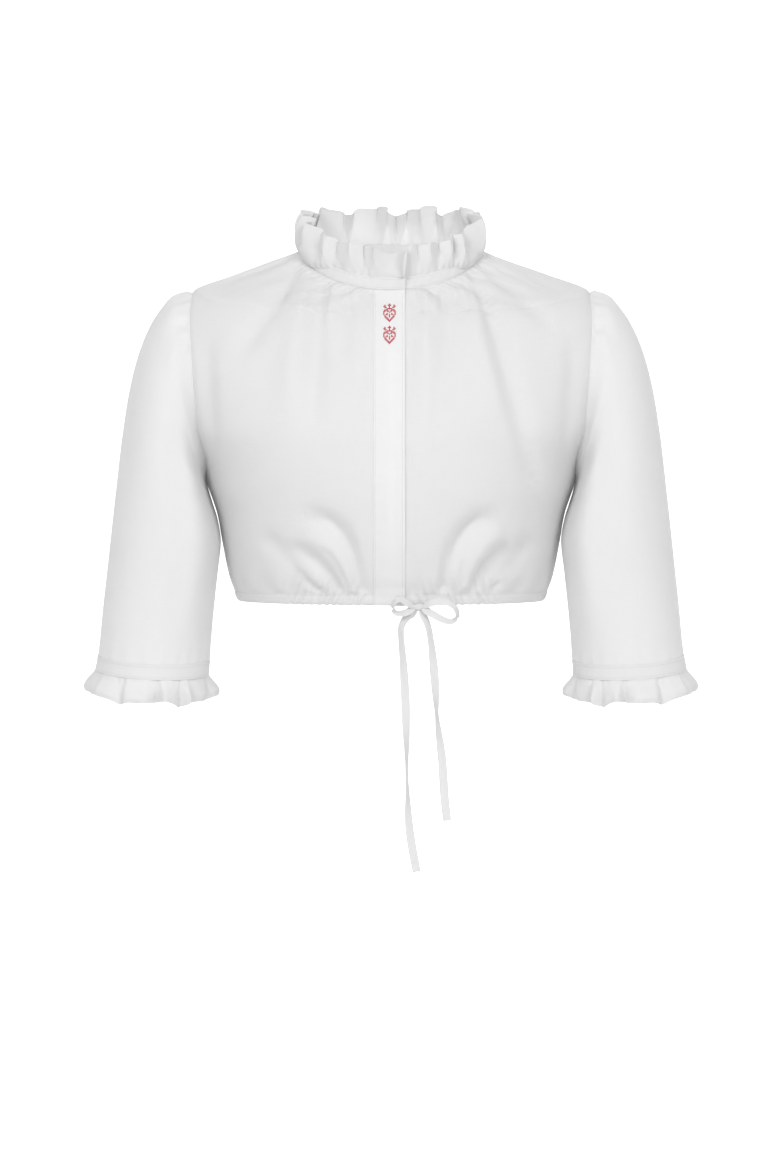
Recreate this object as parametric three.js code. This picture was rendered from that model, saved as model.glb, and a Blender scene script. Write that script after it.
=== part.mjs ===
import * as THREE from 'three';

// A short dirndl blouse of fine white cotton, worn and hollow, with nobody in it. Sizes are in
// millimetres. +X is the wearer's left, +Y the back and +Z up, from the middle of the neck's base.
// Turns and angles round the body start at the centre front or the centre back.

const clothThickness = 1.2;
const ruffleThickness = 1.0;
const seamGap = 0.36;
const bandGap = 0.5;
const ruffleGap = 0.6;

const sideSeamY = 2;
const underarmHeight = -205;
const shoulderTipHeight = -32;
const neckSeamHeight = 7;
const casingTop = -308;
const casingBottom = -318.5;
const armholeFront = 57;
const armholeBack = 62;
const ovalEase = 50;

// Rings round the body, from the hem up to the neck seam. Side, front and back are heights, at the
// side seam or the armhole's edge, the centre front and the centre back.
const bodyRings = [
  { side: -319, front: -318, back: -319, halfWidth: 141.5, frontY: -104.5, backY: 92 },
  { side: -308, front: -307, back: -308, halfWidth: 146, frontY: -108, backY: 94 },
  { side: -293, front: -292, back: -293, halfWidth: 151, frontY: -116, backY: 97 },
  { side: -266, front: -265, back: -266, halfWidth: 156.5, frontY: -126, backY: 100 },
  { side: -240, front: -239, back: -240, halfWidth: 161, frontY: -132, backY: 102 },
  { side: -205, front: -203, back: -205, halfWidth: 172, frontY: -136, backY: 104 },
  { side: -170, front: -170, back: -169, halfWidth: 177.5, frontY: -133, backY: 107 },
  { side: -122, front: -125, back: -120, halfWidth: 182, frontY: -119, backY: 109 },
  { side: -81, front: -89, back: -80, halfWidth: 184.5, frontY: -102, backY: 103 },
  { side: -50, front: -63, back: -51, halfWidth: 186, frontY: -87, backY: 92 },
  { side: -32, front: -49, back: -34, halfWidth: 184, frontY: -77, backY: 80 },
  { side: -15.5, front: -40, back: -21, halfWidth: 145, frontY: -69.5, backY: 69 },
  { side: -4, front: -34, back: -9, halfWidth: 112, frontY: -65.5, backY: 63 },
  { side: 2, front: -31, back: -3, halfWidth: 96, frontY: -63.5, backY: 60 },
  { side: 7, front: -28.3, back: 1, halfWidth: 84, frontY: -62, backY: 59 },
];

// Rings down the sleeve, from the armhole to the cuff seam, for the wearer's left arm. Outer is the
// point over the shoulder and along the outside of the arm, inner the one along the underarm seam.
// Tilt is how far a ring's front hangs below its middle.
const sleeveRings = [
  { ring: 0, outerX: 184, outerZ: -32, innerX: 172, innerZ: -205, halfDepth: 60, midY: 4, tilt: 0 },
  { ring: 1, outerX: 200, outerZ: -35, innerX: 171.5, innerZ: -208, halfDepth: 63, midY: 4, tilt: 0 },
  { ring: 2, outerX: 217, outerZ: -52, innerX: 170.5, innerZ: -212, halfDepth: 66, midY: 3, tilt: 0 },
  { ring: 3, outerX: 231, outerZ: -80, innerX: 168.5, innerZ: -219, halfDepth: 65, midY: -1, tilt: 0 },
  { ring: 4, outerX: 242, outerZ: -118, innerX: 165, innerZ: -229, halfDepth: 62, midY: -8, tilt: 0 },
  { ring: 5, outerX: 250, outerZ: -166, innerX: 160.5, innerZ: -243, halfDepth: 58, midY: -17, tilt: 0 },
  { ring: 6, outerX: 256, outerZ: -221, innerX: 157.5, innerZ: -263, halfDepth: 54, midY: -24, tilt: 1 },
  { ring: 7, outerX: 262, outerZ: -280, innerX: 160.5, innerZ: -293, halfDepth: 50, midY: -28, tilt: 2 },
  { ring: 8, outerX: 268, outerZ: -332, innerX: 165, innerZ: -336, halfDepth: 48, midY: -29, tilt: 4 },
  { ring: 9, outerX: 271.5, outerZ: -367, innerX: 168, innerZ: -371.5, halfDepth: 46, midY: -29, tilt: 5 },
  { ring: 10, outerX: 274, outerZ: -380, innerX: 169, innerZ: -385, halfDepth: 47, midY: -29, tilt: 5 },
];

// Between the armhole and the cuff the sleeve's front is fuller than an oval on the side towards the
// body, by this share of its depth.
const innerFullness = 0.22;
const lastSleeveRing = 9;
const cuffRing = 10;

// Folds in the fronts, as seen from the front: each runs from one end past a bend to the other.
// A depth above zero stands proud, and one below zero is a trough.
const frontFolds = [
  { from: [-92, -14], bend: [-112, -48], to: [-154, -106], width: 10, depth: -4.0 },
  { from: [-76, -12], bend: [-90, -70], to: [-100, -176], width: 12, depth: 3.4 },
  { from: [-62, -22], bend: [-72, -80], to: [-72, -182], width: 11, depth: -3.8 },
  { from: [-47, -34], bend: [-46, -66], to: [-43, -104], width: 8, depth: -1.8 },
  { from: [-107, -4], bend: [-140, -15], to: [-172, -34], width: 7, depth: -1.6 },
  { from: [66, -20], bend: [84, -70], to: [102, -160], width: 10, depth: 2.6 },
  { from: [75, -12], bend: [108, -80], to: [140, -250], width: 11, depth: -4.8 },
  { from: [84, -6], bend: [120, -28], to: [155, -74], width: 9, depth: -3.4 },
  { from: [106, -4], bend: [134, -14], to: [172, -42], width: 7, depth: -1.8 },
  { from: [50, -26], bend: [54, -66], to: [56, -122], width: 10, depth: -2.6 },
  { from: [31, -34], bend: [31, -90], to: [31, -190], width: 9, depth: 1.8 },
  { from: [-92, -240], bend: [-38, -222], to: [-24, -308], width: 10, depth: -5.6 },
  { from: [-84, -254], bend: [-46, -258], to: [-34, -308], width: 8, depth: 3.6 },
  { from: [-102, -264], bend: [-62, -276], to: [-46, -308], width: 8, depth: -4.2 },
  { from: [-95, -277], bend: [-68, -290], to: [-56, -308], width: 6, depth: 2.0 },
  { from: [-126, -244], bend: [-94, -276], to: [-64, -308], width: 9, depth: -2.6 },
  { from: [108, -234], bend: [54, -236], to: [48, -308], width: 10, depth: -5.6 },
  { from: [106, -246], bend: [74, -266], to: [64, -308], width: 8, depth: 3.8 },
  { from: [116, -258], bend: [86, -282], to: [74, -308], width: 8, depth: -4.2 },
  { from: [112, -285], bend: [96, -298], to: [86, -308], width: 6, depth: 2.0 },
  { from: [136, -250], bend: [112, -282], to: [88, -308], width: 9, depth: -2.4 },
];

// The same for the back, where the cloth is drawn in at the neck and under the shoulder blades.
const backFolds = [
  { from: [-70, -6], bend: [-92, -50], to: [-122, -112], width: 10, depth: -3.3 },
  { from: [-34, -8], bend: [-42, -60], to: [-50, -120], width: 10, depth: -2.7 },
  { from: [12, -8], bend: [14, -60], to: [8, -118], width: 10, depth: 2.4 },
  { from: [46, -8], bend: [60, -58], to: [66, -124], width: 10, depth: -3.0 },
  { from: [76, -4], bend: [104, -44], to: [134, -96], width: 9, depth: -3.3 },
  { from: [-104, -246], bend: [-70, -266], to: [-62, -308], width: 9, depth: -3.6 },
  { from: [-50, -226], bend: [-34, -264], to: [-32, -308], width: 9, depth: 3.3 },
  { from: [-6, -236], bend: [-10, -270], to: [-4, -308], width: 8, depth: -3.6 },
  { from: [38, -228], bend: [30, -266], to: [26, -308], width: 9, depth: 3.0 },
  { from: [92, -240], bend: [66, -264], to: [58, -308], width: 9, depth: -3.9 },
];

// A fold that starts above the first height leaves the neck seam, and one that ends below the second
// runs into the casing.
const foldSeams = { neck: -60, hem: -295 };

// Small gathers that the stitching draws up: how many cross a panel, how high they stand and how far
// from the seam they die out. The panels' widths are measured as turns from 0 to 1.
const gathers = {
  frontNeck: { count: 6, height: 1.0, reach: 34 },
  backNeck: { count: 4, height: 0.9, reach: 34 },
  frontHem: { count: 6, height: 0.9, reach: 26 },
  backHem: { count: 4, height: 1.0, reach: 30 },
  sleeveCap: { count: 12, height: 1.1, reach: 30, spread: 1.25 },
};

const casing = {
  bulge: 0.7,
  thickness: 2.4,
  pleatSpacing: 7.2,
  pleatHeight: 0.75,
  slant: 0.35,
  pleatsFrom: 14,
  pleatsTo: 104,
  plainStep: 9,
  frontEnd: 137,
  backColumns: 48,
};
const placket = { left: -15.8, right: 13, lift: 0.4, thickness: 1.4, belowBand: 2, columns: 3, blend: 8 };
const neckband = {
  height: 11,
  thickness: 1.4,
  lean: 1.2,
  lap: 2.2,
  lapLength: 0.5,
  start: -0.155,
  end: 6.24,
};

const neckRuffle = {
  waves: 20,
  height: 28,
  sideDrop: 5,
  backRise: 3.4,
  backPeaks: 2.8,
  waveHeight: 5.2,
  footHeight: 0.7,
  lean: 2.5,
  sideLean: 5,
  edgeRipple: 1.3,
  lapDip: 5,
  lapDipLength: 0.16,
  lap: 3.6,
  lapLength: 0.35,
  start: -0.155,
  end: 6.12,
};
const cuffRuffle = {
  waves: 11,
  depth: 22,
  flare: 9,
  turnIn: 2,
  waveHeight: 4.4,
  footHeight: 0.8,
  edgeRipple: 2.2,
};

const tape = { width: 8, thickness: 1.0, pinched: 0.34, pinchLength: 7 };
const knot = { x: 25, y: -108, z: -318.8, radiusX: 4.8, radiusY: 4.2, radiusZ: 3.7 };

// Where the tape runs. Face is the angle in degrees that its flat side is turned from the front.
const tapeRoutes = {
  tie_loop_right: [
    { x: 20.2, y: -109.6, z: -317.4, face: 38 },
    { x: 14.5, y: -112.9, z: -314.4, face: 48 },
    { x: 8.5, y: -114.3, z: -311.4, face: 66 },
    { x: 4.2, y: -114.8, z: -313, face: 82 },
    { x: 1.8, y: -114.3, z: -317.4, face: 96 },
    { x: 2.4, y: -113.8, z: -322, face: 104 },
    { x: 6, y: -113.8, z: -324.4, face: 118 },
    { x: 10.4, y: -114.1, z: -324.2, face: 134 },
    { x: 15.4, y: -113.7, z: -322.8, face: 140 },
    { x: 20.5, y: -110.3, z: -320.5, face: 142 },
  ],
  tie_loop_left: [
    { x: 29.8, y: -109.4, z: -317.4, face: -40 },
    { x: 37, y: -113.1, z: -314.6, face: -36 },
    { x: 46, y: -114.8, z: -313, face: -42 },
    { x: 54, y: -114.8, z: -315.2, face: -56 },
    { x: 59.5, y: -114.3, z: -320, face: -76 },
    { x: 61, y: -113.8, z: -325.6, face: -94 },
    { x: 58.6, y: -113.8, z: -330.4, face: -112 },
    { x: 53.6, y: -114.3, z: -331.8, face: -128 },
    { x: 47, y: -114.8, z: -329.6, face: -138 },
    { x: 38.6, y: -114.5, z: -325.2, face: -144 },
    { x: 29.4, y: -110.2, z: -320.5, face: -148 },
  ],
  tie_end_right: [
    { x: 22.5, y: -109.1, z: -322.7, face: 24 },
    { x: 14.8, y: -110.3, z: -328, face: 28 },
    { x: 9.8, y: -110.9, z: -336, face: 40 },
    { x: 9.4, y: -111.7, z: -347, face: 46 },
    { x: 11, y: -112.1, z: -366, face: 34 },
    { x: 12.4, y: -112.3, z: -388, face: 12 },
    { x: 13.4, y: -112.3, z: -408, face: -6 },
    { x: 13.8, y: -112.3, z: -426, face: -24 },
    { x: 14.2, y: -112.3, z: -442, face: -44 },
    { x: 14.4, y: -112.3, z: -458, face: -66 },
    { x: 14.6, y: -112.3, z: -474, face: -72 },
    { x: 15.2, y: -112.3, z: -490, face: -64 },
    { x: 15.8, y: -112.3, z: -508, face: -36 },
    { x: 17.4, y: -112.3, z: -526, face: -14 },
    { x: 20.4, y: -112.3, z: -545, face: -12 },
    { x: 23.6, y: -112.3, z: -562, face: -14 },
  ],
  tie_end_left: [
    { x: 27.3, y: -109.1, z: -322.7, face: -38 },
    { x: 31.2, y: -110.9, z: -329.4, face: -36 },
    { x: 34.6, y: -111.3, z: -338.6, face: -44 },
    { x: 37, y: -111.9, z: -353, face: -40 },
    { x: 38.8, y: -112.3, z: -369, face: -18 },
    { x: 40.2, y: -112.3, z: -385, face: 8 },
    { x: 41.2, y: -112.3, z: -400, face: 34 },
    { x: 42, y: -112.3, z: -416, face: 64 },
    { x: 43.4, y: -112.3, z: -430, face: 50 },
    { x: 45.4, y: -112.3, z: -446, face: 24 },
    { x: 47.2, y: -112.3, z: -462, face: 10 },
    { x: 48.2, y: -112.3, z: -478, face: 4 },
    { x: 49.4, y: -112.3, z: -496, face: 8 },
    { x: 51.6, y: -112.3, z: -515, face: 14 },
  ],
};

// How finely each piece is divided.
const frontColumns = 24;
const backColumns = 30;
const lowerRows = [-308, -292, -274, -252, -229];
const armholeSteps = 12;
const shoulderRows = [-23.5, -15, -7, 0.5, 7];
const sleeveRows = [0, 0.45, 0.9, 1.5, 2.2, 3, 4, 5, 6, 7, 8, 9];
const capSteps = 5;

const cottonColour = 0xf4f4f5;
const up = new THREE.Vector3(0, 0, 1);
const group = new THREE.Group();

function clamp(value, low, high) {
  return Math.min(high, Math.max(low, value));
}

function fade(low, high, value) {
  const t = clamp((value - low) / (high - low), 0, 1);
  return t * t * (3 - 2 * t);
}

function steps(from, to, count) {
  return Array.from({ length: count + 1 }, (_, i) => from + ((to - from) * i) / count);
}

// Reads a table as smooth curves: every named column at a value of the key column.
function tableReader(rows, key) {
  const at = rows.map((row) => row[key]);
  const names = Object.keys(rows[0]).filter((name) => name !== key);
  const last = rows.length - 1;
  const slopes = {};
  for (const name of names) {
    const rise = (i) => (rows[i + 1][name] - rows[i][name]) / (at[i + 1] - at[i]);
    slopes[name] = rows.map((row, i) => {
      if (i === 0) return rise(0);
      if (i === last) return rise(last - 1);
      const before = rise(i - 1);
      const after = rise(i);
      return before * after > 0 ? (2 * before * after) / (before + after) : 0;
    });
  }
  return (value) => {
    let i = 0;
    while (i < last - 1 && value > at[i + 1]) i += 1;
    const span = at[i + 1] - at[i];
    const t = (value - at[i]) / span;
    const result = {};
    for (const name of names) {
      const a = rows[i][name];
      const b = rows[i + 1][name];
      const bend = 3 * (b - a) - span * (2 * slopes[name][i] + slopes[name][i + 1]);
      const twist = span * (slopes[name][i] + slopes[name][i + 1]) - 2 * (b - a);
      result[name] = a + t * (span * slopes[name][i] + t * (bend + t * twist));
    }
    return result;
  };
}

const bodyRingAt = tableReader(bodyRings, 'side');
const sleeveRingAt = tableReader(sleeveRings, 'ring');

// The normal of a surface from two short steps across it.
function surfaceNormal(pointAt, u, v, stepU, stepV) {
  const across = pointAt(u + stepU, v).sub(pointAt(u - stepU, v));
  const along = pointAt(u, v + stepV).sub(pointAt(u, v - stepV));
  return across.cross(along).normalize();
}

// How far the armhole's edge stands in front of or behind the side seam at a height.
function armholeOpening(face, side) {
  const rise = clamp((side - underarmHeight) / (shoulderTipHeight - underarmHeight), 0, 1);
  const half = face < 0 ? armholeFront : armholeBack;
  return 2 * half * Math.sqrt(rise * (1 - rise));
}

function bodyDepth(face, ring) {
  return face < 0 ? sideSeamY - ring.frontY : ring.backY - sideSeamY;
}

// The angle from the centre at which a panel ends, at the side seam or the armhole.
function edgeAngle(face, side) {
  return Math.acos(armholeOpening(face, side) / bodyDepth(face, bodyRingAt(side)));
}

// Half the width of the oval that a panel follows. It widens beyond the armhole's edge, and begins to
// do so gently above the underarm, so that no crease crosses the panel there.
function ovalWidth(face, side) {
  const widening = 1 / Math.sin(edgeAngle(face, side)) - 1;
  const begun = fade(underarmHeight, underarmHeight + ovalEase, side);
  return bodyRingAt(side).halfWidth * (1 + widening * begun);
}

// A share from 0 to 1 that leaves 0 gently, so that the shoulder seam has no crease.
function softened(share) {
  const ease = 0.14;
  return (Math.hypot(share, ease) - ease) / (Math.hypot(1, ease) - ease);
}

// The smooth body without folds. Face is -1 for the front and 1 for the back.
function plainBody(face, angle, side) {
  const ring = bodyRingAt(side);
  const depth = bodyDepth(face, ring);
  const towards = Math.cos(angle);
  const soft = softened(towards);
  const centre = face < 0 ? ring.front : ring.back;
  return new THREE.Vector3(
    ovalWidth(face, side) * Math.sin(angle),
    sideSeamY + face * depth * towards,
    side + (centre - side) * soft,
  );
}

function bodyNormal(face, angle, side) {
  const step = side > neckSeamHeight - 1 ? side - 1 : side;
  const normal = surfaceNormal((a, s) => plainBody(face, a, s), angle, step, 0.01, 0.5);
  return face < 0 ? normal : normal.negate();
}

// The distance from a point to a fold's curve, and how far along the curve it is.
function foldReach(fold, x, z) {
  let nearest = { distance: Infinity, along: 0 };
  for (let i = 0; i <= 16; i += 1) {
    const t = i / 16;
    const u = 1 - t;
    const dx = u * u * fold.from[0] + 2 * u * t * fold.bend[0] + t * t * fold.to[0] - x;
    const dz = u * u * fold.from[1] + 2 * u * t * fold.bend[1] + t * t * fold.to[1] - z;
    const distance = Math.hypot(dx, dz);
    if (distance < nearest.distance) nearest = { distance, along: t };
  }
  return nearest;
}

// A fold begins at the neck seam or ends at the hem's, and dies out at its other end.
function foldHeight(folds, x, z) {
  let height = 0;
  for (const fold of folds) {
    const { distance, along } = foldReach(fold, x, z);
    const start = fold.from[1] > foldSeams.neck ? 0.55 + 0.45 * fade(0, 0.3, along) : fade(0, 0.3, along);
    const end = fold.to[1] < foldSeams.hem ? 1 : fade(0, 0.35, 1 - along);
    height += fold.depth * start * end * Math.exp(-((distance / fold.width) ** 2));
  }
  return height;
}

// Gathers beside a seam: highest a little way from it, gone at their reach.
function gatherHeight(kind, turn, distance) {
  const wave = Math.cos(2 * Math.PI * (kind.count * Math.abs(turn) + 0.08 * Math.sin(9 * turn)));
  return kind.height * wave * fade(0, 5, distance) * (1 - fade(6, kind.reach, distance));
}

// A point on a panel with its folds, lifted off it by a distance.
function bodyPoint(face, turn, side, lift = 0) {
  const angle = turn * edgeAngle(face, side);
  const point = plainBody(face, angle, side);
  const neckPoint = plainBody(face, angle, neckSeamHeight);
  const neckGather = face < 0 ? gathers.frontNeck : gathers.backNeck;
  const hemGather = face < 0 ? gathers.frontHem : gathers.backHem;
  const folds = face < 0 ? frontFolds : backFolds;
  const aboveCasing = point.z - casingTop;
  const fromNeck = point.distanceTo(neckPoint);
  let height = foldHeight(folds, point.x, point.z) * fade(0, 6, aboveCasing) * fade(0, 5, fromNeck);
  height += gatherHeight(neckGather, turn, fromNeck);
  height += gatherHeight(hemGather, turn, aboveCasing);
  const edgeFade = fade(0, 0.12, 1 - Math.abs(turn));
  const centreFade = face < 0 ? fade(0.06, 0.16, Math.abs(turn)) : 1;
  const normal = bodyNormal(face, angle, side);
  return point.addScaledVector(normal, height * edgeFade * centreFade + lift);
}

// A closed wall between an outer and an inner grid of points, as columns of rows.
function wallMesh(name, outer, inner, closed = false) {
  const columns = outer.length;
  const rows = outer[0].length;
  const positions = [];
  for (const grid of [outer, inner]) {
    for (const column of grid) {
      for (const point of column) positions.push(point.x, point.y, point.z);
    }
  }
  const at = (layer, i, j) => (layer * columns + (i % columns)) * rows + j;
  const index = [];
  const quad = (a, b, c, d) => index.push(a, b, c, a, c, d);
  const spans = closed ? columns : columns - 1;
  for (let i = 0; i < spans; i += 1) {
    for (let j = 0; j < rows - 1; j += 1) {
      quad(at(0, i, j), at(0, i + 1, j), at(0, i + 1, j + 1), at(0, i, j + 1));
      quad(at(1, i, j), at(1, i, j + 1), at(1, i + 1, j + 1), at(1, i + 1, j));
    }
    quad(at(1, i, 0), at(1, i + 1, 0), at(0, i + 1, 0), at(0, i, 0));
    quad(at(0, i, rows - 1), at(0, i + 1, rows - 1), at(1, i + 1, rows - 1), at(1, i, rows - 1));
  }
  for (let j = 0; j < rows - 1 && !closed; j += 1) {
    quad(at(0, 0, j), at(0, 0, j + 1), at(1, 0, j + 1), at(1, 0, j));
    const end = columns - 1;
    quad(at(1, end, j), at(1, end, j + 1), at(0, end, j + 1), at(0, end, j));
  }
  addMesh(name, positions, index);
}

function signedVolume(positions, index) {
  const corner = (i) => new THREE.Vector3().fromArray(positions, index[i] * 3);
  let volume = 0;
  for (let i = 0; i < index.length; i += 3) {
    volume += corner(i).dot(corner(i + 1).cross(corner(i + 2))) / 6;
  }
  return volume;
}

function addMesh(name, positions, index) {
  if (signedVolume(positions, index) < 0) index.reverse();
  const geometry = new THREE.BufferGeometry();
  geometry.setAttribute('position', new THREE.Float32BufferAttribute(positions, 3));
  geometry.setIndex(index);
  geometry.computeVertexNormals();
  const material = new THREE.MeshStandardMaterial({ color: cottonColour, roughness: 0.9, metalness: 0 });
  const mesh = new THREE.Mesh(geometry, material);
  mesh.name = name;
  group.add(mesh);
}

function grid(us, vs, pointAt) {
  return us.map((u) => vs.map((v) => pointAt(u, v)));
}

// A wall of even thickness with a rippled surface at its middle.
function rippledWall(name, us, vs, pointAt, thickness, closed) {
  const offset = (side) => (u, v) => {
    const normal = surfaceNormal(pointAt, u, v, 0.004, 0.01);
    return pointAt(u, v).addScaledVector(normal, (side * thickness) / 2);
  };
  wallMesh(name, grid(us, vs, offset(1)), grid(us, vs, offset(-1)), closed);
}

function armholeRows() {
  return steps(0, Math.PI, armholeSteps).map((turn) => {
    const rise = (1 - Math.cos(turn)) / 2;
    return underarmHeight + rise * (shoulderTipHeight - underarmHeight);
  });
}

function panelRows() {
  const rows = [...lowerRows, ...armholeRows(), ...shoulderRows];
  rows[0] += seamGap / 2;
  return rows;
}

function addPanel(name, face, turns) {
  const rows = panelRows();
  const layer = (lift) => grid(turns, rows, (turn, side) => bodyPoint(face, turn, side, lift));
  wallMesh(name, layer(0), layer(-clothThickness));
}

// The turn that brings a front's point to a distance from the middle.
function turnAt(face, x, side) {
  return Math.asin(x / ovalWidth(face, side)) / edgeAngle(face, side);
}

// A panel's turn from 0 to 1 is about this long, and its side edge stays a little short of 1. The
// fronts start a little off the middle, so that they don't touch there.
const turnLength = 190;
const seamTurn = 1 - seamGap / turnLength;
const frontMeeting = 0.008;

function addPanels() {
  const turns = steps(frontMeeting, seamTurn, frontColumns);
  addPanel('front_left', -1, turns);
  addPanel('front_right', -1, turns.map((turn) => -turn));
  addPanel('back', 1, steps(-seamTurn, seamTurn, backColumns));
}

// A point on the casing, with the slanted pleats that the drawstring makes in it.
function casingPoint(face, turn, height, lift) {
  const base = plainBody(face, turn * (Math.PI / 2), height);
  const middle = (casingTop + casingBottom) / 2;
  const half = (casingTop - casingBottom) / 2;
  const round = Math.sqrt(Math.max(0, 1 - ((height - middle) / half) ** 2));
  const across = Math.abs(base.x) + casing.slant * (height - middle);
  const fromMiddle = Math.abs(base.x);
  const begun = fade(casing.pleatsFrom, casing.pleatsFrom + 10, fromMiddle);
  const inPleats = begun * (1 - fade(casing.pleatsTo - 16, casing.pleatsTo, fromMiddle));
  const wave = Math.cos((2 * Math.PI * across) / casing.pleatSpacing);
  const pleats = casing.pleatHeight * wave * inPleats * (face < 0 ? 1 : 0.8);
  const normal = bodyNormal(face, turn * (Math.PI / 2), height);
  return base.addScaledVector(normal, casing.bulge * round + pleats + lift);
}

// Columns close together where the casing is pleated and far apart elsewhere.
function casingTurns() {
  const turns = [];
  let x = casing.pleatsFrom;
  while (x < casing.frontEnd) {
    turns.push(turnAt(-1, x, casingTop));
    x += x < casing.pleatsTo ? casing.pleatSpacing / 4 : casing.plainStep;
  }
  return turns;
}

function addCasings() {
  const heights = [casingBottom, (casingTop + casingBottom) / 2, casingTop - seamGap / 2];
  const layer = (face, turns, lift) => {
    return grid(turns, heights, (turn, height) => casingPoint(face, turn, height, lift));
  };
  const frontTurns = [frontMeeting, ...casingTurns(), seamTurn];
  const backTurns = steps(-seamTurn, seamTurn, casing.backColumns);
  const strips = [
    { name: 'casing_left', face: -1, turns: frontTurns },
    { name: 'casing_right', face: -1, turns: frontTurns.map((turn) => -turn) },
    { name: 'casing_back', face: 1, turns: backTurns },
  ];
  for (const { name, face, turns } of strips) {
    wallMesh(name, layer(face, turns, 0), layer(face, turns, -casing.thickness));
  }
}

// The placket follows the fronts and the casing, moved out, and covers where they meet.
function addPlacket() {
  const casingMiddle = (casingTop + casingBottom) / 2;
  const rows = [casingBottom, casingMiddle, ...panelRows().slice(0, -1), neckSeamHeight - placket.belowBand];
  const across = steps(placket.left, placket.right, placket.columns);
  const layer = (lift) => grid(across, rows, (x, side) => {
    const bulge = casing.bulge * (1 - fade(casingTop, casingTop + placket.blend, side));
    return bodyPoint(-1, turnAt(-1, x, side), side, bulge + placket.lift + lift);
  });
  wallMesh('placket', layer(placket.thickness), layer(0));
}

// The neck's seam line. Theta runs from the centre front past the wearer's right to the back.
function neckPoint(theta) {
  const towards = Math.cos(theta);
  const face = towards > 0 ? -1 : 1;
  const angle = face < 0 ? -theta : theta - Math.PI;
  return plainBody(face, angle, neckSeamHeight);
}

function neckOutward(theta) {
  const along = neckPoint(theta + 0.01).sub(neckPoint(theta - 0.01));
  return along.cross(up).normalize().negate();
}

// The band's outer face. Its first end laps over its last one.
function bandPoint(theta, height, inward = 0) {
  const lap = neckband.lap * (1 - fade(neckband.start, neckband.start + neckband.lapLength, theta));
  const out = lap - inward - (neckband.lean * height) / neckband.height;
  return neckPoint(theta).addScaledVector(neckOutward(theta), out).addScaledVector(up, height);
}

function addNeckband() {
  const thetas = steps(neckband.start, neckband.end, 56);
  const heights = [bandGap, neckband.height];
  const layer = (inward) => grid(thetas, heights, (theta, height) => bandPoint(theta, height, inward));
  wallMesh('neckband', layer(0), layer(neckband.thickness));
}

// Waves that differ a little in length and height, as gathers do.
function unevenWave(share, count) {
  const drift = 0.22 * Math.sin(2 * Math.PI * 3 * share + 1) + 0.16 * Math.sin(2 * Math.PI * 5 * share + 2.4);
  const swell = 1 + 0.22 * Math.sin(2 * Math.PI * 4 * share + 0.6) + 0.14 * Math.sin(2 * Math.PI * 9 * share);
  return { turn: 2 * Math.PI * (count * share + drift), swell };
}

function neckRufflePoint(theta, rise) {
  const share = (theta - neckRuffle.start) / (neckRuffle.end - neckRuffle.start);
  const { turn, swell } = unevenWave(share, neckRuffle.waves);
  const ends = fade(0, 0.03, share) * fade(0, 0.03, 1 - share);
  const growth = neckRuffle.footHeight + (neckRuffle.waveHeight - neckRuffle.footHeight) * fade(0, 0.9, rise);
  const wave = growth * swell * Math.sin(turn) * (0.15 + 0.85 * ends);
  const lap = neckRuffle.lap * (1 - fade(neckRuffle.start, neckRuffle.start + neckRuffle.lapLength, theta));
  const atLap = Math.exp(-((theta / neckRuffle.lapDipLength) ** 2));
  const sides = Math.sin(theta) ** 2;
  const drop = neckRuffle.sideDrop * sides * Math.abs(Math.sin(theta)) + neckRuffle.lapDip * atLap;
  const atBack = fade(-0.2, 0.6, -Math.cos(theta));
  const peaks = Math.sin(11 * theta + 0.6) + 0.45 * Math.sin(23 * theta);
  const height = neckRuffle.height - drop + atBack * (neckRuffle.backRise + neckRuffle.backPeaks * peaks);
  const ripple = neckRuffle.edgeRipple * Math.cos(turn * 0.5 + 0.7) * rise;
  const lean = neckRuffle.lean * Math.sin(Math.PI * rise * 0.8) - neckRuffle.sideLean * sides * rise * rise;
  const foot = bandPoint(theta, neckband.height + ruffleGap, neckband.thickness / 2);
  const out = wave + lap + lean;
  return foot.addScaledVector(neckOutward(theta), out).addScaledVector(up, height * rise + ripple);
}

function addNeckRuffle() {
  const thetas = steps(neckRuffle.start, neckRuffle.end, neckRuffle.waves * 5);
  rippledWall('neck_ruffle', thetas, [0, 0.22, 0.6, 1], neckRufflePoint, ruffleThickness, false);
}

// The armhole's seam line for the wearer's left, through the panels' own edge points. Psi runs from
// the shoulder tip down the front to the underarm and up the back.
function armholePoint(psi) {
  const face = psi <= Math.PI ? -1 : 1;
  const down = face < 0 ? psi : 2 * Math.PI - psi;
  const place = ((Math.PI - down) / Math.PI) * armholeSteps;
  const rows = armholeRows();
  const low = clamp(Math.floor(place + 1e-6), 0, armholeSteps - 1);
  const edge = (k) => plainBody(face, edgeAngle(face, rows[k]), rows[k]);
  return edge(low).lerp(edge(low + 1), place - low);
}

function plainSleeve(psi, ringNumber) {
  const ring = sleeveRingAt(ringNumber);
  const outer = new THREE.Vector3(ring.outerX, ring.midY, ring.outerZ);
  const inner = new THREE.Vector3(ring.innerX, ring.midY, ring.innerZ);
  const centre = outer.clone().add(inner).multiplyScalar(0.5);
  const point = centre.clone().addScaledVector(outer.sub(centre), Math.cos(psi));
  const isInnerFront = psi > Math.PI / 2 && psi < Math.PI;
  const length = fade(2.2, 4, ringNumber) * (1 - fade(7, 9, ringNumber));
  const full = isInnerFront ? innerFullness * length * Math.sin(2 * psi) ** 2 : 0;
  point.y -= ring.halfDepth * Math.sin(psi) * (1 + full);
  point.z -= ring.tilt * Math.sin(psi);
  return point;
}

// The sleeve leaves the armhole's own line and settles into plain rings two rings down.
function sleeveBase(psi, ringNumber) {
  const start = armholePoint(psi).sub(plainSleeve(psi, 0));
  start.x += seamGap + 0.1;
  return plainSleeve(psi, ringNumber).addScaledVector(start, 1 - fade(0, 2.2, ringNumber));
}

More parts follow.
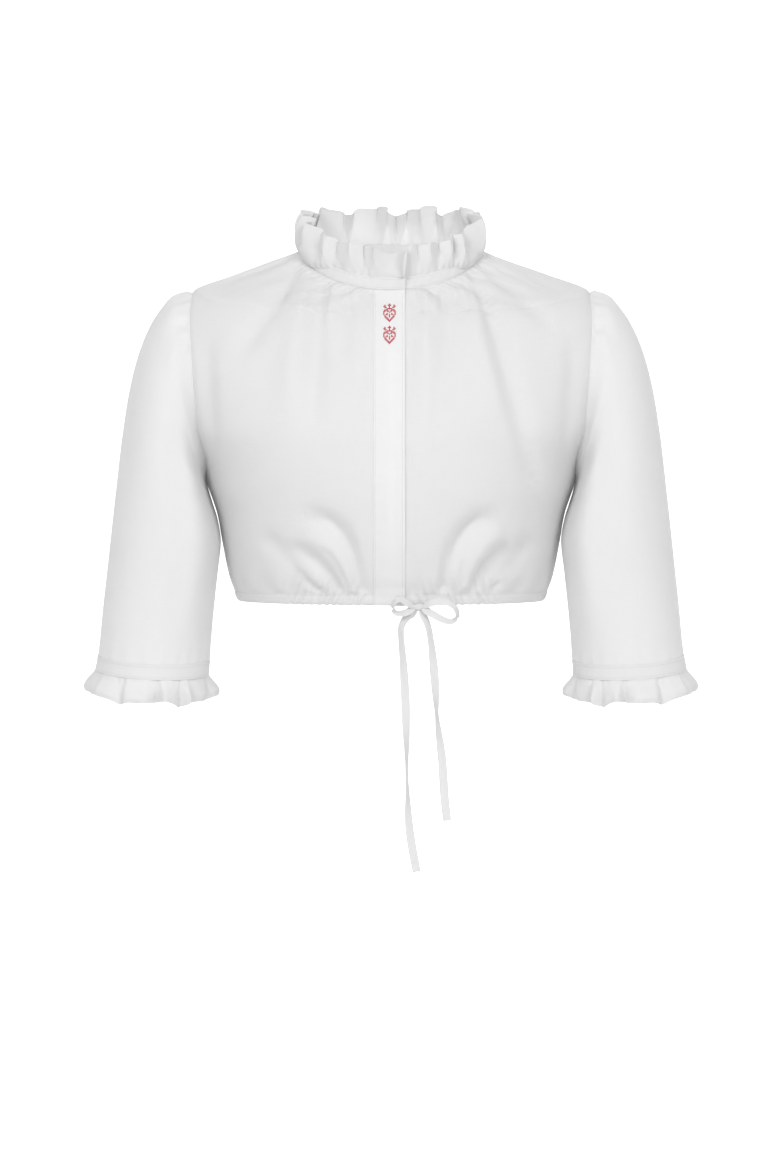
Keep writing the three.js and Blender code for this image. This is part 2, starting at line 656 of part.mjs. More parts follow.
function sleeveNormal(psi, ringNumber) {
  return surfaceNormal(plainSleeve, psi, Math.max(ringNumber, 0.25), 0.01, 0.05);
}

function sleevePoint(psi, ringNumber, lift) {
  const fromTop = Math.min(psi, 2 * Math.PI - psi);
  const base = sleeveBase(psi, ringNumber);
  const distance = base.distanceTo(sleeveBase(psi, 0));
  const cap = gathers.sleeveCap;
  const wave = Math.cos(cap.count * fromTop);
  const envelope = fade(0, 5, distance) * (1 - fade(6, cap.reach, distance));
  const height = cap.height * wave * envelope * (1 - fade(cap.spread - 0.2, cap.spread, fromTop));
  return base.addScaledVector(sleeveNormal(psi, ringNumber), height + lift);
}

function sleeveTurns() {
  const step = Math.PI / armholeSteps;
  const turns = [];
  for (let k = 0; k < armholeSteps * 2; k += 1) {
    turns.push(k * step);
    const nearTop = k < capSteps || k >= armholeSteps * 2 - capSteps;
    if (nearTop) turns.push((k + 0.5) * step);
  }
  return turns;
}

// Makes a piece for each arm: the wearer's right is the left one mirrored.
function addPair(name, outer, inner) {
  const mirror = (points) => points.map((column) => column.map((p) => new THREE.Vector3(-p.x, p.y, p.z)));
  wallMesh(`${name}_left`, outer, inner, true);
  wallMesh(`${name}_right`, mirror(outer), mirror(inner), true);
}

function addSleeves() {
  const turns = sleeveTurns();
  const layer = (lift) => grid(turns, sleeveRows, (psi, ring) => sleevePoint(psi, ring, lift));
  addPair('sleeve', layer(0), layer(-clothThickness));
}

// The cuff band goes on from the sleeve's last ring, a seam's gap below it.
function addCuffBands() {
  const turns = steps(0, 2 * Math.PI, 30).slice(0, -1);
  const rings = [lastSleeveRing + seamGap / 13, cuffRing];
  const layer = (lift) => grid(turns, rings, (psi, ring) => {
    return plainSleeve(psi, ring).addScaledVector(sleeveNormal(psi, ring - 0.1), lift);
  });
  addPair('cuff_band', layer(0.3), layer(-1.3));
}

function cuffRufflePoint(psi, drop) {
  const share = psi / (2 * Math.PI);
  const { turn, swell } = unevenWave(share, cuffRuffle.waves);
  const growth = cuffRuffle.footHeight + (cuffRuffle.waveHeight - cuffRuffle.footHeight) * fade(0, 0.9, drop);
  const spread = cuffRuffle.flare * fade(0, 0.85, drop) - cuffRuffle.turnIn * drop ** 3;
  const out = spread + growth * swell * Math.sin(turn) - 0.6;
  const ring = sleeveRingAt(cuffRing);
  const tilt = Math.atan2(ring.outerZ - ring.innerZ, ring.outerX - ring.innerX);
  const down = new THREE.Vector3(Math.sin(tilt), 0, -Math.cos(tilt));
  const outward = new THREE.Vector3(Math.cos(psi), -Math.sin(psi), 0);
  const ripple = cuffRuffle.edgeRipple * Math.cos(turn * 0.5 + 0.4) * drop;
  const foot = plainSleeve(psi, cuffRing).addScaledVector(down, ruffleGap);
  return foot.addScaledVector(outward, out).addScaledVector(down, cuffRuffle.depth * drop + ripple);
}

function addCuffRuffles() {
  const turns = steps(0, 2 * Math.PI, cuffRuffle.waves * 4).slice(0, -1);
  const drops = [0, 0.35, 1];
  const offset = (side) => (psi, drop) => {
    const normal = surfaceNormal(cuffRufflePoint, psi, drop, 0.004, 0.01);
    return cuffRufflePoint(psi, drop).addScaledVector(normal, (side * ruffleThickness) / 2);
  };
  addPair('cuff_ruffle', grid(turns, drops, offset(1)), grid(turns, drops, offset(-1)));
}

// A flat tape along a route, with eight corners to its section, pinched where the knot holds it.
function addTape(name, route) {
  const curve = new THREE.CatmullRomCurve3(route.map(({ x, y, z }) => new THREE.Vector3(x, y, z)));
  const faceAt = tableReader(route.map(({ face }, i) => ({ place: i / (route.length - 1), face })), 'place');
  const count = route.length + 4;
  const length = curve.getLength();
  const isLoop = name.includes('loop');
  const section = [
    [0.5, 0.2], [0.42, 0.5], [-0.42, 0.5], [-0.5, 0.2],
    [-0.5, -0.2], [-0.42, -0.5], [0.42, -0.5], [0.5, -0.2],
  ];
  const positions = [];
  const index = [];
  for (let i = 0; i <= count; i += 1) {
    const t = i / count;
    const along = curve.getTangent(t);
    const front = new THREE.Vector3(0, -1, 0);
    front.addScaledVector(along, -front.dot(along)).normalize();
    front.applyAxisAngle(along, THREE.MathUtils.degToRad(faceAt(t).face));
    const across = along.clone().cross(front);
    const toKnot = length * (isLoop ? Math.min(t, 1 - t) : t);
    const width = tape.width * (tape.pinched + (1 - tape.pinched) * fade(0, tape.pinchLength, toKnot));
    for (const [w, h] of section) {
      const corner = curve.getPoint(t);
      corner.addScaledVector(across, w * width).addScaledVector(front, h * tape.thickness);
      positions.push(corner.x, corner.y, corner.z);
    }
  }
  const sides = section.length;
  for (let i = 0; i < count; i += 1) {
    for (let k = 0; k < sides; k += 1) {
      const a = i * sides + k;
      const b = i * sides + ((k + 1) % sides);
      index.push(a, b, b + sides, a, b + sides, a + sides);
    }
  }
  const end = count * sides;
  for (let k = 1; k < sides - 1; k += 1) {
    index.push(0, k + 1, k, end, end + k, end + k + 1);
  }
  addMesh(name, positions, index);
}

function addKnot() {
  const positions = [knot.x, knot.y, knot.z + knot.radiusZ];
  const rings = 5;
  const sides = 10;
  for (let i = 1; i <= rings; i += 1) {
    const down = (Math.PI * i) / (rings + 1);
    for (let k = 0; k < sides; k += 1) {
      const round = (2 * Math.PI * k) / sides;
      const radius = Math.sin(down);
      positions.push(
        knot.x + knot.radiusX * radius * Math.cos(round),
        knot.y + knot.radiusY * radius * Math.sin(round),
        knot.z + knot.radiusZ * Math.cos(down),
      );
    }
  }
  positions.push(knot.x, knot.y, knot.z - knot.radiusZ);
  const index = [];
  const at = (i, k) => 1 + (i - 1) * sides + (k % sides);
  const bottom = 1 + rings * sides;
  for (let k = 0; k < sides; k += 1) {
    index.push(0, at(1, k), at(1, k + 1));
    index.push(bottom, at(rings, k + 1), at(rings, k));
    for (let i = 1; i < rings; i += 1) {
      index.push(at(i, k), at(i + 1, k), at(i + 1, k + 1), at(i, k), at(i + 1, k + 1), at(i, k + 1));
    }
  }
  addMesh('tie_knot', positions, index);
}

addPanels();
addCasings();
addPlacket();
addNeckband();
addNeckRuffle();
addSleeves();
addCuffBands();
addCuffRuffles();
addKnot();
for (const [name, route] of Object.entries(tapeRoutes)) addTape(name, route);

export default group;
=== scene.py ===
import math

import bpy
import numpy as np
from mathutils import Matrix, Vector


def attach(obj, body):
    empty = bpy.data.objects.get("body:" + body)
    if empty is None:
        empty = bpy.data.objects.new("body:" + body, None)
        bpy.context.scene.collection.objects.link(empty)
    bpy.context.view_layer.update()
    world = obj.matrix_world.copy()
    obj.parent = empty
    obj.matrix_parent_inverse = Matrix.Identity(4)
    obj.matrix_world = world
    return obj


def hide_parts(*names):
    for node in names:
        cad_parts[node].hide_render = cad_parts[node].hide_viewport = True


# A short white dirndl blouse, worn and hollow. Tables are in millimetres, meshes in metres:
# +X is the wearer's left, +Y the back, +Z up, from the middle of the neck's base.

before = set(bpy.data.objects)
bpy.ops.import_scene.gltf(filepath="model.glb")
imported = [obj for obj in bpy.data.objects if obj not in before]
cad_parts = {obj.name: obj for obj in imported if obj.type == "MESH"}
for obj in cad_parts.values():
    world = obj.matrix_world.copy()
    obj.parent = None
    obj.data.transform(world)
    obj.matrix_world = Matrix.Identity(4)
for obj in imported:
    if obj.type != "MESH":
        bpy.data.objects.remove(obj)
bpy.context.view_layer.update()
mm = 0.001

# Camera: straight on, a little above, with a long lens
cameraSetup = {
    "distance": 8000.0,
    "elevation": 3.0,
    "aimHeight": -306.4,
    "mmPerPixel": 0.93,
    "imageHeight": 1175,
}


def makeCamera(setup):
    data = bpy.data.cameras.new("camera")
    data.sensor_width = 36.0
    away = setup["distance"] / math.cos(math.radians(setup["elevation"]))
    data.lens = data.sensor_width * away / (setup["mmPerPixel"] * setup["imageHeight"])
    data.clip_end = 40.0
    camera = bpy.data.objects.new("camera", data)
    bpy.context.scene.collection.objects.link(camera)
    rise = setup["distance"] * math.tan(math.radians(setup["elevation"]))
    camera.location = Vector((0, -setup["distance"], setup["aimHeight"] + rise)) * mm
    aim = Vector((0, 0, setup["aimHeight"])) * mm
    camera.rotation_euler = (aim - camera.location).to_track_quat("-Z", "Y").to_euler()
    bpy.context.scene.camera = camera


makeCamera(cameraSetup)
print("camera made")


# Small tools for curves, tables and surfaces
def fade(low, high, value):
    # a smooth step from 0 at low to 1 at high, in either direction
    t = np.clip((np.asarray(value, float) - low) / (high - low), 0, 1)
    return t * t * (3 - 2 * t)


def between(start, full, fading, end, value):
    # rises from start to full, then falls from fading to end
    return fade(start, full, value) * (1 - fade(fading, end, value))


def spread(low, high, count):
    return np.linspace(low, high, count + 1)


def readTable(rows, key):
    # every named column as a smooth curve over the key column
    at = np.array([row[key] for row in rows], float)
    columns = {name: np.array([row[name] for row in rows], float) for name in rows[0] if name != key}
    slopes = {}
    for name, column in columns.items():
        rise = np.diff(column) / np.diff(at)
        before, after = rise[:-1], rise[1:]
        total = np.where(before * after > 0, before + after, 1.0)
        inner = np.where(before * after > 0, 2 * before * after / total, 0.0)
        slopes[name] = np.concatenate([rise[:1], inner, rise[-1:]])

    def read(value):
        value = np.asarray(value, float)
        i = np.clip(np.searchsorted(at, value, side="left") - 1, 0, len(at) - 2)
        span = at[i + 1] - at[i]
        t = (value - at[i]) / span
        result = {}
        for name, column in columns.items():
            a, b = column[i], column[i + 1]
            startSlope, endSlope = slopes[name][i], slopes[name][i + 1]
            bend = 3 * (b - a) - span * (2 * startSlope + endSlope)
            twist = span * (startSlope + endSlope) - 2 * (b - a)
            result[name] = a + t * (span * startSlope + t * (bend + t * twist))
        return result

    return read


def stretches(first, *steps):
    # rows from stop to stop, given as a count and a stop for each stretch
    rows = [first]
    for count, stop in zip(steps[::2], steps[1::2]):
        rows.extend(spread(rows[-1], stop, count)[1:])
    return np.array(rows)


def namedRows(columns, rows):
    # a table's rows as dictionaries, with the columns named once
    return [dict(zip(columns.split(), row)) for row in rows]


def lengthAlong(line, power=1.0):
    # how far along the line each of its points is
    return np.concatenate([[0], np.cumsum(np.linalg.norm(np.diff(line, axis=0), axis=1) ** power)])


def points(x, y, z):
    return np.stack(np.broadcast_arrays(x, y, z), axis=-1).astype(float)


def unit(vectors):
    return vectors / np.maximum(np.linalg.norm(vectors, axis=-1, keepdims=True), 1e-12)


def surfaceNormal(pointAt, u, v, stepU, stepV):
    across = pointAt(u + stepU, v) - pointAt(u - stepU, v)
    along = pointAt(u, v + stepV) - pointAt(u, v - stepV)
    return unit(np.cross(across, along))


def ripple(u, v, waves):
    # a soft uneven surface from a few crossed waves: (along u, along v, phase, height)
    return sum(height * np.sin(a * u + b * v + phase) for a, b, phase, height in waves)


# The body's form
body = {
    "sideSeamY": 2,
    "underarmHeight": -205,
    "shoulderTipHeight": -32,
    "neckSeamHeight": 7,
    "casingTop": -308,
    "casingBottom": -318.5,
    "armholeFront": 57,
    "armholeBack": 62,
    "ovalEase": 50,
    "edgeReach": 190,
}

bodyRings = namedRows("side front back halfWidth frontY backY", [
    (-319, -318, -319, 141.5, -104.5, 92),
    (-308, -307, -308, 146, -108, 94),
    (-293, -292, -293, 151, -116, 97),
    (-266, -265, -266, 156.5, -126, 100),
    (-240, -239, -240, 161, -132, 102),
    (-205, -203, -205, 172, -136, 104),
    (-170, -170, -169, 177.5, -133, 107),
    (-122, -125, -120, 182, -119, 109),
    (-81, -89, -80, 184.5, -102, 103),
    (-50, -63, -51, 186, -87, 92),
    (-32, -49, -34, 184, -77, 80),
    (-15.5, -40, -21, 145, -69.5, 69),
    (-4, -34, -9, 112, -65.5, 63),
    (2, -31, -3, 96, -63.5, 60),
    (7, -28.3, 1, 84, -62, 59),
])

# Folds as seen from the front: from one end past a bend to the other, troughs below zero
frontFolds = namedRows("from bend to width depth", [
    ((-88, -14), (-112, -48), (-154, -106), 10, -4.6),
    ((-76, -14), (-90, -70), (-100, -176), 12, 3.6),
    ((-62, -22), (-72, -80), (-72, -182), 11, -4.2),
    ((-47, -34), (-46, -66), (-43, -104), 8, -2.0),
    ((-107, -4), (-140, -15), (-172, -34), 5, -2.0),
    ((-168, -62), (-172, -120), (-158, -196), 8, -2.4),
    ((66, -20), (84, -70), (102, -160), 10, 2.8),
    ((75, -14), (108, -80), (140, -250), 10, -5.4),
    ((84, -8), (120, -28), (155, -74), 9, -3.8),
    ((106, -4), (134, -14), (172, -42), 5, -2.0),
    ((166, -64), (170, -122), (156, -198), 8, -2.2),
    ((50, -26), (54, -66), (56, -122), 10, -3.0),
    ((31, -34), (31, -90), (31, -190), 9, 2.0),
    ((-30, -34), (-31, -90), (-30, -150), 8, 1.6),
    ((-92, -240), (-38, -222), (-24, -308), 10, -5.4),
    ((-84, -254), (-46, -258), (-34, -308), 8, 2.6),
    ((-102, -260), (-64, -272), (-44, -308), 7, -3.8),
    ((-95, -277), (-68, -290), (-56, -308), 6, 2.0),
    ((-126, -244), (-94, -276), (-64, -308), 9, -3.0),
    ((108, -234), (54, -236), (48, -308), 10, -5.4),
    ((106, -246), (74, -266), (64, -308), 8, 2.8),
    ((116, -258), (86, -282), (74, -308), 8, -4.6),
    ((112, -285), (96, -298), (86, -308), 6, 2.0),
    ((136, -250), (112, -282), (88, -308), 9, -2.6),
])

# Finer creases that only the cloth itself shows
frontCreases = namedRows("from bend to width depth", [
    ((-97, -3), (-118, -12), (-168, -38), 3.5, -1.2),
    ((-88, -8), (-96, -24), (-104, -44), 3.0, -1.4),
    ((-70, -17), (-76, -34), (-80, -62), 2.8, -1.2),
    ((-54, -25), (-58, -40), (-59, -66), 2.8, 1.2),
    ((-38, -28), (-38, -40), (-36, -60), 2.8, -1.0),
    ((-26, -30), (-25, -38), (-24, -50), 2.6, -0.8),
    ((90, -3), (112, -14), (160, -40), 3.5, -1.4),
    ((66, -19), (72, -32), (82, -66), 3.0, -1.5),
    ((59, -22), (61, -34), (62, -48), 2.4, -1.4),
    ((46, -27), (46, -38), (46, -52), 2.4, -1.4),
    ((33, -29), (32, -44), (32, -70), 3.0, 1.0),
    ((22, -30), (22, -40), (21, -58), 2.6, -0.8),
    ((-70, -236), (-44, -236), (-28, -300), 3.5, -1.5),
    ((-66, -262), (-48, -272), (-38, -306), 3.0, -1.4),
    ((-82, -292), (-72, -299), (-66, -306), 2.6, -1.4),
    ((88, -236), (62, -240), (52, -300), 3.5, -1.5),
    ((67, -272), (66, -284), (65, -306), 2.6, -1.5),
    ((100, -268), (82, -286), (72, -306), 3.0, -1.4),
    ((104, -296), (96, -301), (90, -307), 2.6, -1.2),
    ((-16, -254), (-18, -270), (-20, -290), 4.0, -1.0),
])

backFolds = namedRows("from bend to width depth", [
    ((-70, -6), (-92, -50), (-122, -112), 10, -3.5),
    ((-34, -8), (-42, -60), (-50, -120), 10, -2.9),
    ((12, -8), (14, -60), (8, -118), 10, 2.6),
    ((46, -8), (60, -58), (66, -124), 10, -3.2),
    ((76, -4), (104, -44), (134, -96), 9, -3.5),
    ((-104, -246), (-70, -266), (-62, -308), 9, -3.8),
    ((-50, -226), (-34, -264), (-32, -308), 9, 3.5),
    ((-6, -236), (-10, -270), (-4, -308), 8, -3.8),
    ((38, -228), (30, -266), (26, -308), 9, 3.2),
    ((92, -240), (66, -264), (58, -308), 9, -4.2),
])

backCreases = namedRows("from bend to width depth", [
    ((-60, 0), (-66, -18), (-72, -46), 3.0, -1.3),
    ((-22, 0), (-24, -20), (-30, -52), 3.0, -1.1),
    ((30, 0), (34, -18), (38, -58), 3.0, -1.3),
    ((64, 0), (74, -16), (86, -44), 3.0, -1.3),
    ((-84, -262), (-62, -276), (-54, -306), 3.2, -1.4),
    ((-24, -256), (-22, -280), (-18, -306), 3.0, -1.3),
    ((22, -262), (16, -282), (14, -306), 3.0, -1.1),
    ((80, -270), (62, -284), (48, -306), 3.2, -1.4),
])

gathers = {
    "frontNeck": {"count": 6, "height": 1.0, "reach": 34},
    "frontLong": {"count": 5.3, "height": 1.25, "reach": 135},
    "backNeck": {"count": 4, "height": 0.9, "reach": 34},
    "backLong": {"count": 4.6, "height": 1.1, "reach": 120},
    "frontHem": {"count": 6, "height": 0.9, "reach": 26},
    "backHem": {"count": 4, "height": 1.0, "reach": 30},
    "fineNeck": {"count": 19, "height": 0.42, "reach": 17},
}

readBody = readTable(bodyRings, "side")


def armholeOpening(face, side):
    rise = (side - body["underarmHeight"]) / (body["shoulderTipHeight"] - body["underarmHeight"])
    rise = np.clip(rise, 0, 1)
    half = body["armholeFront"] if face < 0 else body["armholeBack"]
    return 2 * half * np.sqrt(rise * (1 - rise))


def bodyDepth(face, ring):
    return body["sideSeamY"] - ring["frontY"] if face < 0 else ring["backY"] - body["sideSeamY"]


def edgeAngle(face, side):
    return np.arccos(armholeOpening(face, side) / bodyDepth(face, readBody(side)))


def ovalWidth(face, side):
    # the oval widens beyond the armhole's edge, gently at first
    widening = 1 / np.sin(edgeAngle(face, side)) - 1
    begun = fade(body["underarmHeight"], body["underarmHeight"] + body["ovalEase"], side)
    return readBody(side)["halfWidth"] * (1 + widening * begun)


def softened(share):
    ease = 0.14
    return (np.hypot(share, ease) - ease) / (math.hypot(1, ease) - ease)


def plainBody(face, angle, side):
    angle, side = np.broadcast_arrays(np.asarray(angle, float), np.asarray(side, float))
    ring = readBody(side)
    depth = bodyDepth(face, ring)
    width = ovalWidth(face, side)
    towards = np.cos(angle)
    centre = ring["front"] if face < 0 else ring["back"]
    height = side + (centre - side) * softened(towards)
    return points(width * np.sin(angle), body["sideSeamY"] + face * depth * towards, height)


def bodyNormal(face, angle, side):
    inner = np.where(side > body["neckSeamHeight"] - 1, side - 1, side)
    normal = surfaceNormal(lambda a, s: plainBody(face, a, s), angle, inner, 0.01, 0.5)
    return normal if face < 0 else -normal


def foldHeight(folds, x, z):
    t = np.linspace(0, 1, 33)
    u = 1 - t
    height = np.zeros_like(x)
    for fold in folds:
        curveX = u * u * fold["from"][0] + 2 * u * t * fold["bend"][0] + t * t * fold["to"][0]
        curveZ = u * u * fold["from"][1] + 2 * u * t * fold["bend"][1] + t * t * fold["to"][1]
        distance = np.hypot(curveX - x[..., None], curveZ - z[..., None])
        along = t[distance.argmin(axis=-1)]
        # a fold is narrow and sharp where it leaves a seam, and widens away from it
        atNeck, atHem = fold["from"][1] > -60, fold["to"][1] < -295
        start = 0.55 + 0.45 * fade(0, 0.3, along) if atNeck else fade(0, 0.3, along)
        end = 0.6 + 0.4 * fade(0, 0.35, 1 - along) if atHem else fade(0, 0.4, 1 - along)
        fromSeam = along if atNeck else 1 - along
        width = fold["width"] * (0.5 + 0.5 * fade(0, 0.5, fromSeam))
        height += fold["depth"] * start * end * np.exp(-((distance.min(axis=-1) / width) ** 2))
    return height


def gatherHeight(kind, turn, distance):
    wave = np.cos(2 * np.pi * (kind["count"] * np.abs(turn) + 0.08 * np.sin(9 * turn)))
    return kind["height"] * wave * between(0, 5, 6, kind["reach"], distance)


# The hem's tunnel and the small slanted pleats that the tape draws up in it
casing = {
    "bulge": 0.9,
    "thickness": 2.4,
    "pleatSpacing": 7.2,
    "pleatHeight": 1.2,
    "slant": 0.35,
    "pleatsFrom": 16,
    "backPleatsFrom": -40,
    "pleatsTo": 108,
    "pleatsFade": 20,
    "reach": 24,
}


def pleatHeight(face, x, aboveMiddle):
    fromMiddle = np.abs(x)
    across = fromMiddle + casing["slant"] * aboveMiddle + 1.1 * np.sin(fromMiddle * 0.11)
    start, end = casing["pleatsFrom"] if face < 0 else casing["backPleatsFrom"], casing["pleatsTo"]
    inside = between(start, start + 8, end - casing["pleatsFade"], end, fromMiddle)
    uneven = 0.75 + 0.35 * np.sin(fromMiddle * 0.23 + 1.0)
    return casing["pleatHeight"] * uneven * np.cos(2 * np.pi * across / casing["pleatSpacing"]) * inside


placket = {
    "left": -15.8,
    "right": 13,
    "thickness": 0.9,
    "lift": -0.45,
    "freeEdgeLift": 1.3,
    "belowBand": 1.0,
    "edgeWidth": 1.2,
    "troughAway": 4,
    "troughWidth": 5.5,
    "troughDepth": 1.5,
}

bodyRipples = [
    (0.05, 0.021, 0.4, 0.22),
    (-0.031, 0.044, 1.9, 0.2),
    (0.083, -0.03, 4.0, 0.12),
    (0.02, 0.09, 2.2, 0.1),
]


def bodyPoint(face, turn, side, lift=0.0):
    angle = turn * edgeAngle(face, side)
    base = plainBody(face, angle, side)
    fromNeck = np.linalg.norm(base - plainBody(face, angle, body["neckSeamHeight"]), axis=-1)
    x, z = base[..., 0], base[..., 2]
    above = z - body["casingTop"]
    names = ("frontNeck", "frontHem") if face < 0 else ("backNeck", "backHem")
    folds = frontFolds if face < 0 else backFolds
    creases = frontCreases if face < 0 else backCreases
    height = foldHeight(folds, x, z) + foldHeight(creases, x, z)
    height *= fade(0, 7, above) * fade(0, 5, fromNeck)
    height += gatherHeight(gathers[names[0]], turn, fromNeck)
    height += gatherHeight(gathers["fineNeck"], turn, fromNeck)
    long = gathers["frontLong" if face < 0 else "backLong"]
    uneven = 0.7 + 0.5 * np.sin(5.0 * turn + 0.8)
    height += gatherHeight(long, turn + 0.05 * np.sin(fromNeck * 0.03), fromNeck) * uneven
    height += gatherHeight(gathers[names[1]], turn, above)
    height += pleatHeight(face, x, above + 5) * (1 - fade(0, casing["reach"], above)) * 0.9
    height += ripple(x, z, bodyRipples) * fade(10, 50, above)
    fromEdge = body["edgeReach"] * (1 - np.abs(turn))
    height *= fade(0, 0.08, 1 - np.abs(turn))
    if face < 0:
        height *= fade(0.06, 0.16, np.abs(turn))
        # a soft trough beside the placket's free edge
        beside = np.exp(-(((x - placket["right"] - placket["troughAway"]) / placket["troughWidth"]) ** 2))
        length = fade(-36, -50, z) * (1 - fade(-190, -240, z)) * (1 + 0.3 * np.sin(z * 0.06))
        height -= placket["troughDepth"] * beside * length
    groove = -0.2 * np.exp(-((fromEdge / 2.0) ** 2)) - 0.05 * np.exp(-((above / 2.0) ** 2))
    groove -= 0.5 * np.exp(-((fromNeck / 1.8) ** 2))
    normal = bodyNormal(face, angle, side)
    return base + normal * (height + groove + lift)[..., None]


def gridMesh(name, outer, inner, material, closed=False):
    # a closed shell between two grids of points in millimetres, with its UV map in metres
    columns, rows = outer.shape[:2]
    count = columns * rows
    vertices = np.concatenate([outer.reshape(-1, 3), inner.reshape(-1, 3)]) * mm
    spans = columns if closed else columns - 1
    i = np.arange(spans)[:, None]
    j = np.arange(rows - 1)[None, :]
    a = (i * rows + j).ravel()
    b = (((i + 1) % columns) * rows + j).ravel()
    faces = [np.stack([a, b, b + 1, a + 1], 1), np.stack([a, a + 1, b + 1, b], 1) + count]
    k = np.arange(spans)
    low, lowNext = k * rows, ((k + 1) % columns) * rows
    faces.append(np.stack([low + count, lowNext + count, lowNext, low], 1))
    high, highNext = low + rows - 1, lowNext + rows - 1
    faces.append(np.stack([high, highNext, highNext + count, high + count], 1))
    if not closed:
        j = np.arange(rows - 1)
        last = (columns - 1) * rows + j
        faces.append(np.stack([j, j + 1, j + 1 + count, j + count], 1))
        faces.append(np.stack([last + count, last + 1 + count, last + 1, last], 1))
    faces = np.concatenate(faces)
    if signedVolume(vertices, faces) < 0:
        faces = faces[:, ::-1]
    acrossStep = np.linalg.norm(np.diff(outer, axis=0, append=outer[:1]), axis=-1).mean(axis=1)
    alongStep = np.linalg.norm(np.diff(outer, axis=1), axis=-1).mean(axis=0)
    u = np.concatenate([[0], np.cumsum(acrossStep)]) * mm
    v = np.concatenate([[0], np.cumsum(alongStep)]) * mm
    uv = np.stack(np.meshgrid(u[:columns], v, indexing="ij"), -1).reshape(-1, 2)
    uv = np.concatenate([uv, uv])
    cornerUv = uv[faces.ravel()]
    if closed:  # the last column's faces run on past the end of the map, not back to its start
        column = (faces % count) // rows
        wraps = (column == 0) & (column.max(axis=1, keepdims=True) == columns - 1)
        cornerUv[wraps.ravel(), 0] += u[columns]
    return meshObject(name, vertices, faces, material, cornerUv)


def signedVolume(vertices, faces):
    a, b, c, d = (vertices[faces[:, k]] for k in range(4))
    return (np.cross(b - a, c - a) * a).sum() + (np.cross(c - a, d - a) * a).sum()


def meshObject(name, vertices, faces, material, cornerUv=None, smooth=True):
    mesh = bpy.data.meshes.new(name)
    mesh.from_pydata(vertices.tolist(), [], faces.tolist())
    if cornerUv is not None:
        layer = mesh.uv_layers.new(name="cloth")
        layer.data.foreach_set("uv", cornerUv.astype(np.float32).ravel())
    mesh.materials.append(material)
    mesh.polygons.foreach_set("use_smooth", [smooth] * len(mesh.polygons))
    mesh.update()
    mesh.set_sharp_from_angle(angle=math.radians(50))
    made = bpy.data.objects.new(name, mesh)
    bpy.context.scene.collection.objects.link(made)
    return made


def finishPiece(piece, nodes=()):
    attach(piece, "root")
    if nodes:
        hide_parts(*nodes)
    return piece


def addNode(tree, kind, inputs=None, **settings):
    node = tree.nodes.new(kind)
    for name, value in settings.items():
        setattr(node, name, value)
    for name, value in (inputs or {}).items():
        if isinstance(value, bpy.types.NodeSocket):
            tree.links.new(value, node.inputs[name])
        else:
            node.inputs[name].default_value = value
    return node


def reckon(tree, operation, *values):
    return addNode(tree, "ShaderNodeMath", dict(enumerate(values)), operation=operation).outputs[0]


def colourRamp(tree, value, *stops):
    ramp = addNode(tree, "ShaderNodeValToRGB", {"Fac": value})
    for element, (position, colour) in zip(ramp.color_ramp.elements, stops):
        element.position = position
        element.color = (*colour, 1)
    return ramp.outputs["Color"]


def clothMaterial(name, look):
    material = bpy.data.materials.new(name)
    material.use_nodes = True
    tree = material.node_tree
    tree.nodes.clear()
    where = addNode(tree, "ShaderNodeTexCoord").outputs["UV"]
    threads = []
    for direction in ("X", "Y"):
        wave = addNode(tree, "ShaderNodeTexWave", {
            "Vector": where,
            "Scale": 0.314159 / (look["threadPitch"] * mm),
            "Distortion": 0.6,
            "Detail": 1.0,
            "Detail Scale": 2.0,
        }, wave_type="BANDS", bands_direction=direction)
        threads.append(wave.outputs["Fac"])
    weave = reckon(tree, "MULTIPLY", *threads)
    slubs = []
    for stretch in ((60, 1400, 1), (1400, 60, 1)):
        mapping = addNode(tree, "ShaderNodeMapping", {"Vector": where, "Scale": stretch})
        slub = addNode(tree, "ShaderNodeTexNoise", {
            "Vector": mapping.outputs["Vector"], "Scale": 1.0, "Detail": 3.0, "Roughness": 0.6,
        })
        slubs.append(slub.outputs["Fac"])
    slub = reckon(tree, "ADD", *slubs)
    blotch = addNode(tree, "ShaderNodeTexNoise", {
        "Vector": addNode(tree, "ShaderNodeTexCoord").outputs["Object"], "Scale": 14.0, "Detail": 3.0,
    }).outputs["Fac"]
    shade = 0.0
    for part, weight in ((slub, 0.5), (blotch, 0.35)):
        shade = reckon(tree, "MULTIPLY_ADD", part, weight, shade)
    colour = colourRamp(tree, shade, (0.35, look["shade"]), (0.95, look["colour"]))
    fine = addNode(tree, "ShaderNodeBump", {
        "Height": weave, "Strength": look["weaveBump"], "Distance": look["threadPitch"] * mm * 0.4,
    })
    bump = addNode(tree, "ShaderNodeBump", {
        "Height": slub, "Strength": look["slubBump"], "Distance": 0.0004, "Normal": fine.outputs["Normal"],
    })
    shader = addNode(tree, "ShaderNodeBsdfPrincipled", {
        "Base Color": colour,
        "Roughness": look["roughness"],
        "Sheen Weight": look["sheen"],
        "Sheen Roughness": 0.5,
        "Specular IOR Level": 0.25,
        "Normal": bump.outputs["Normal"],
    })
    through = addNode(tree, "ShaderNodeBsdfTranslucent", {"Color": colour})
    mix = addNode(tree, "ShaderNodeMixShader", {
        0: look["translucency"], 1: shader.outputs[0], 2: through.outputs[0],
    })
    out = addNode(tree, "ShaderNodeOutputMaterial")
    tree.links.new(mix.outputs["Shader"], out.inputs["Surface"])
    return material


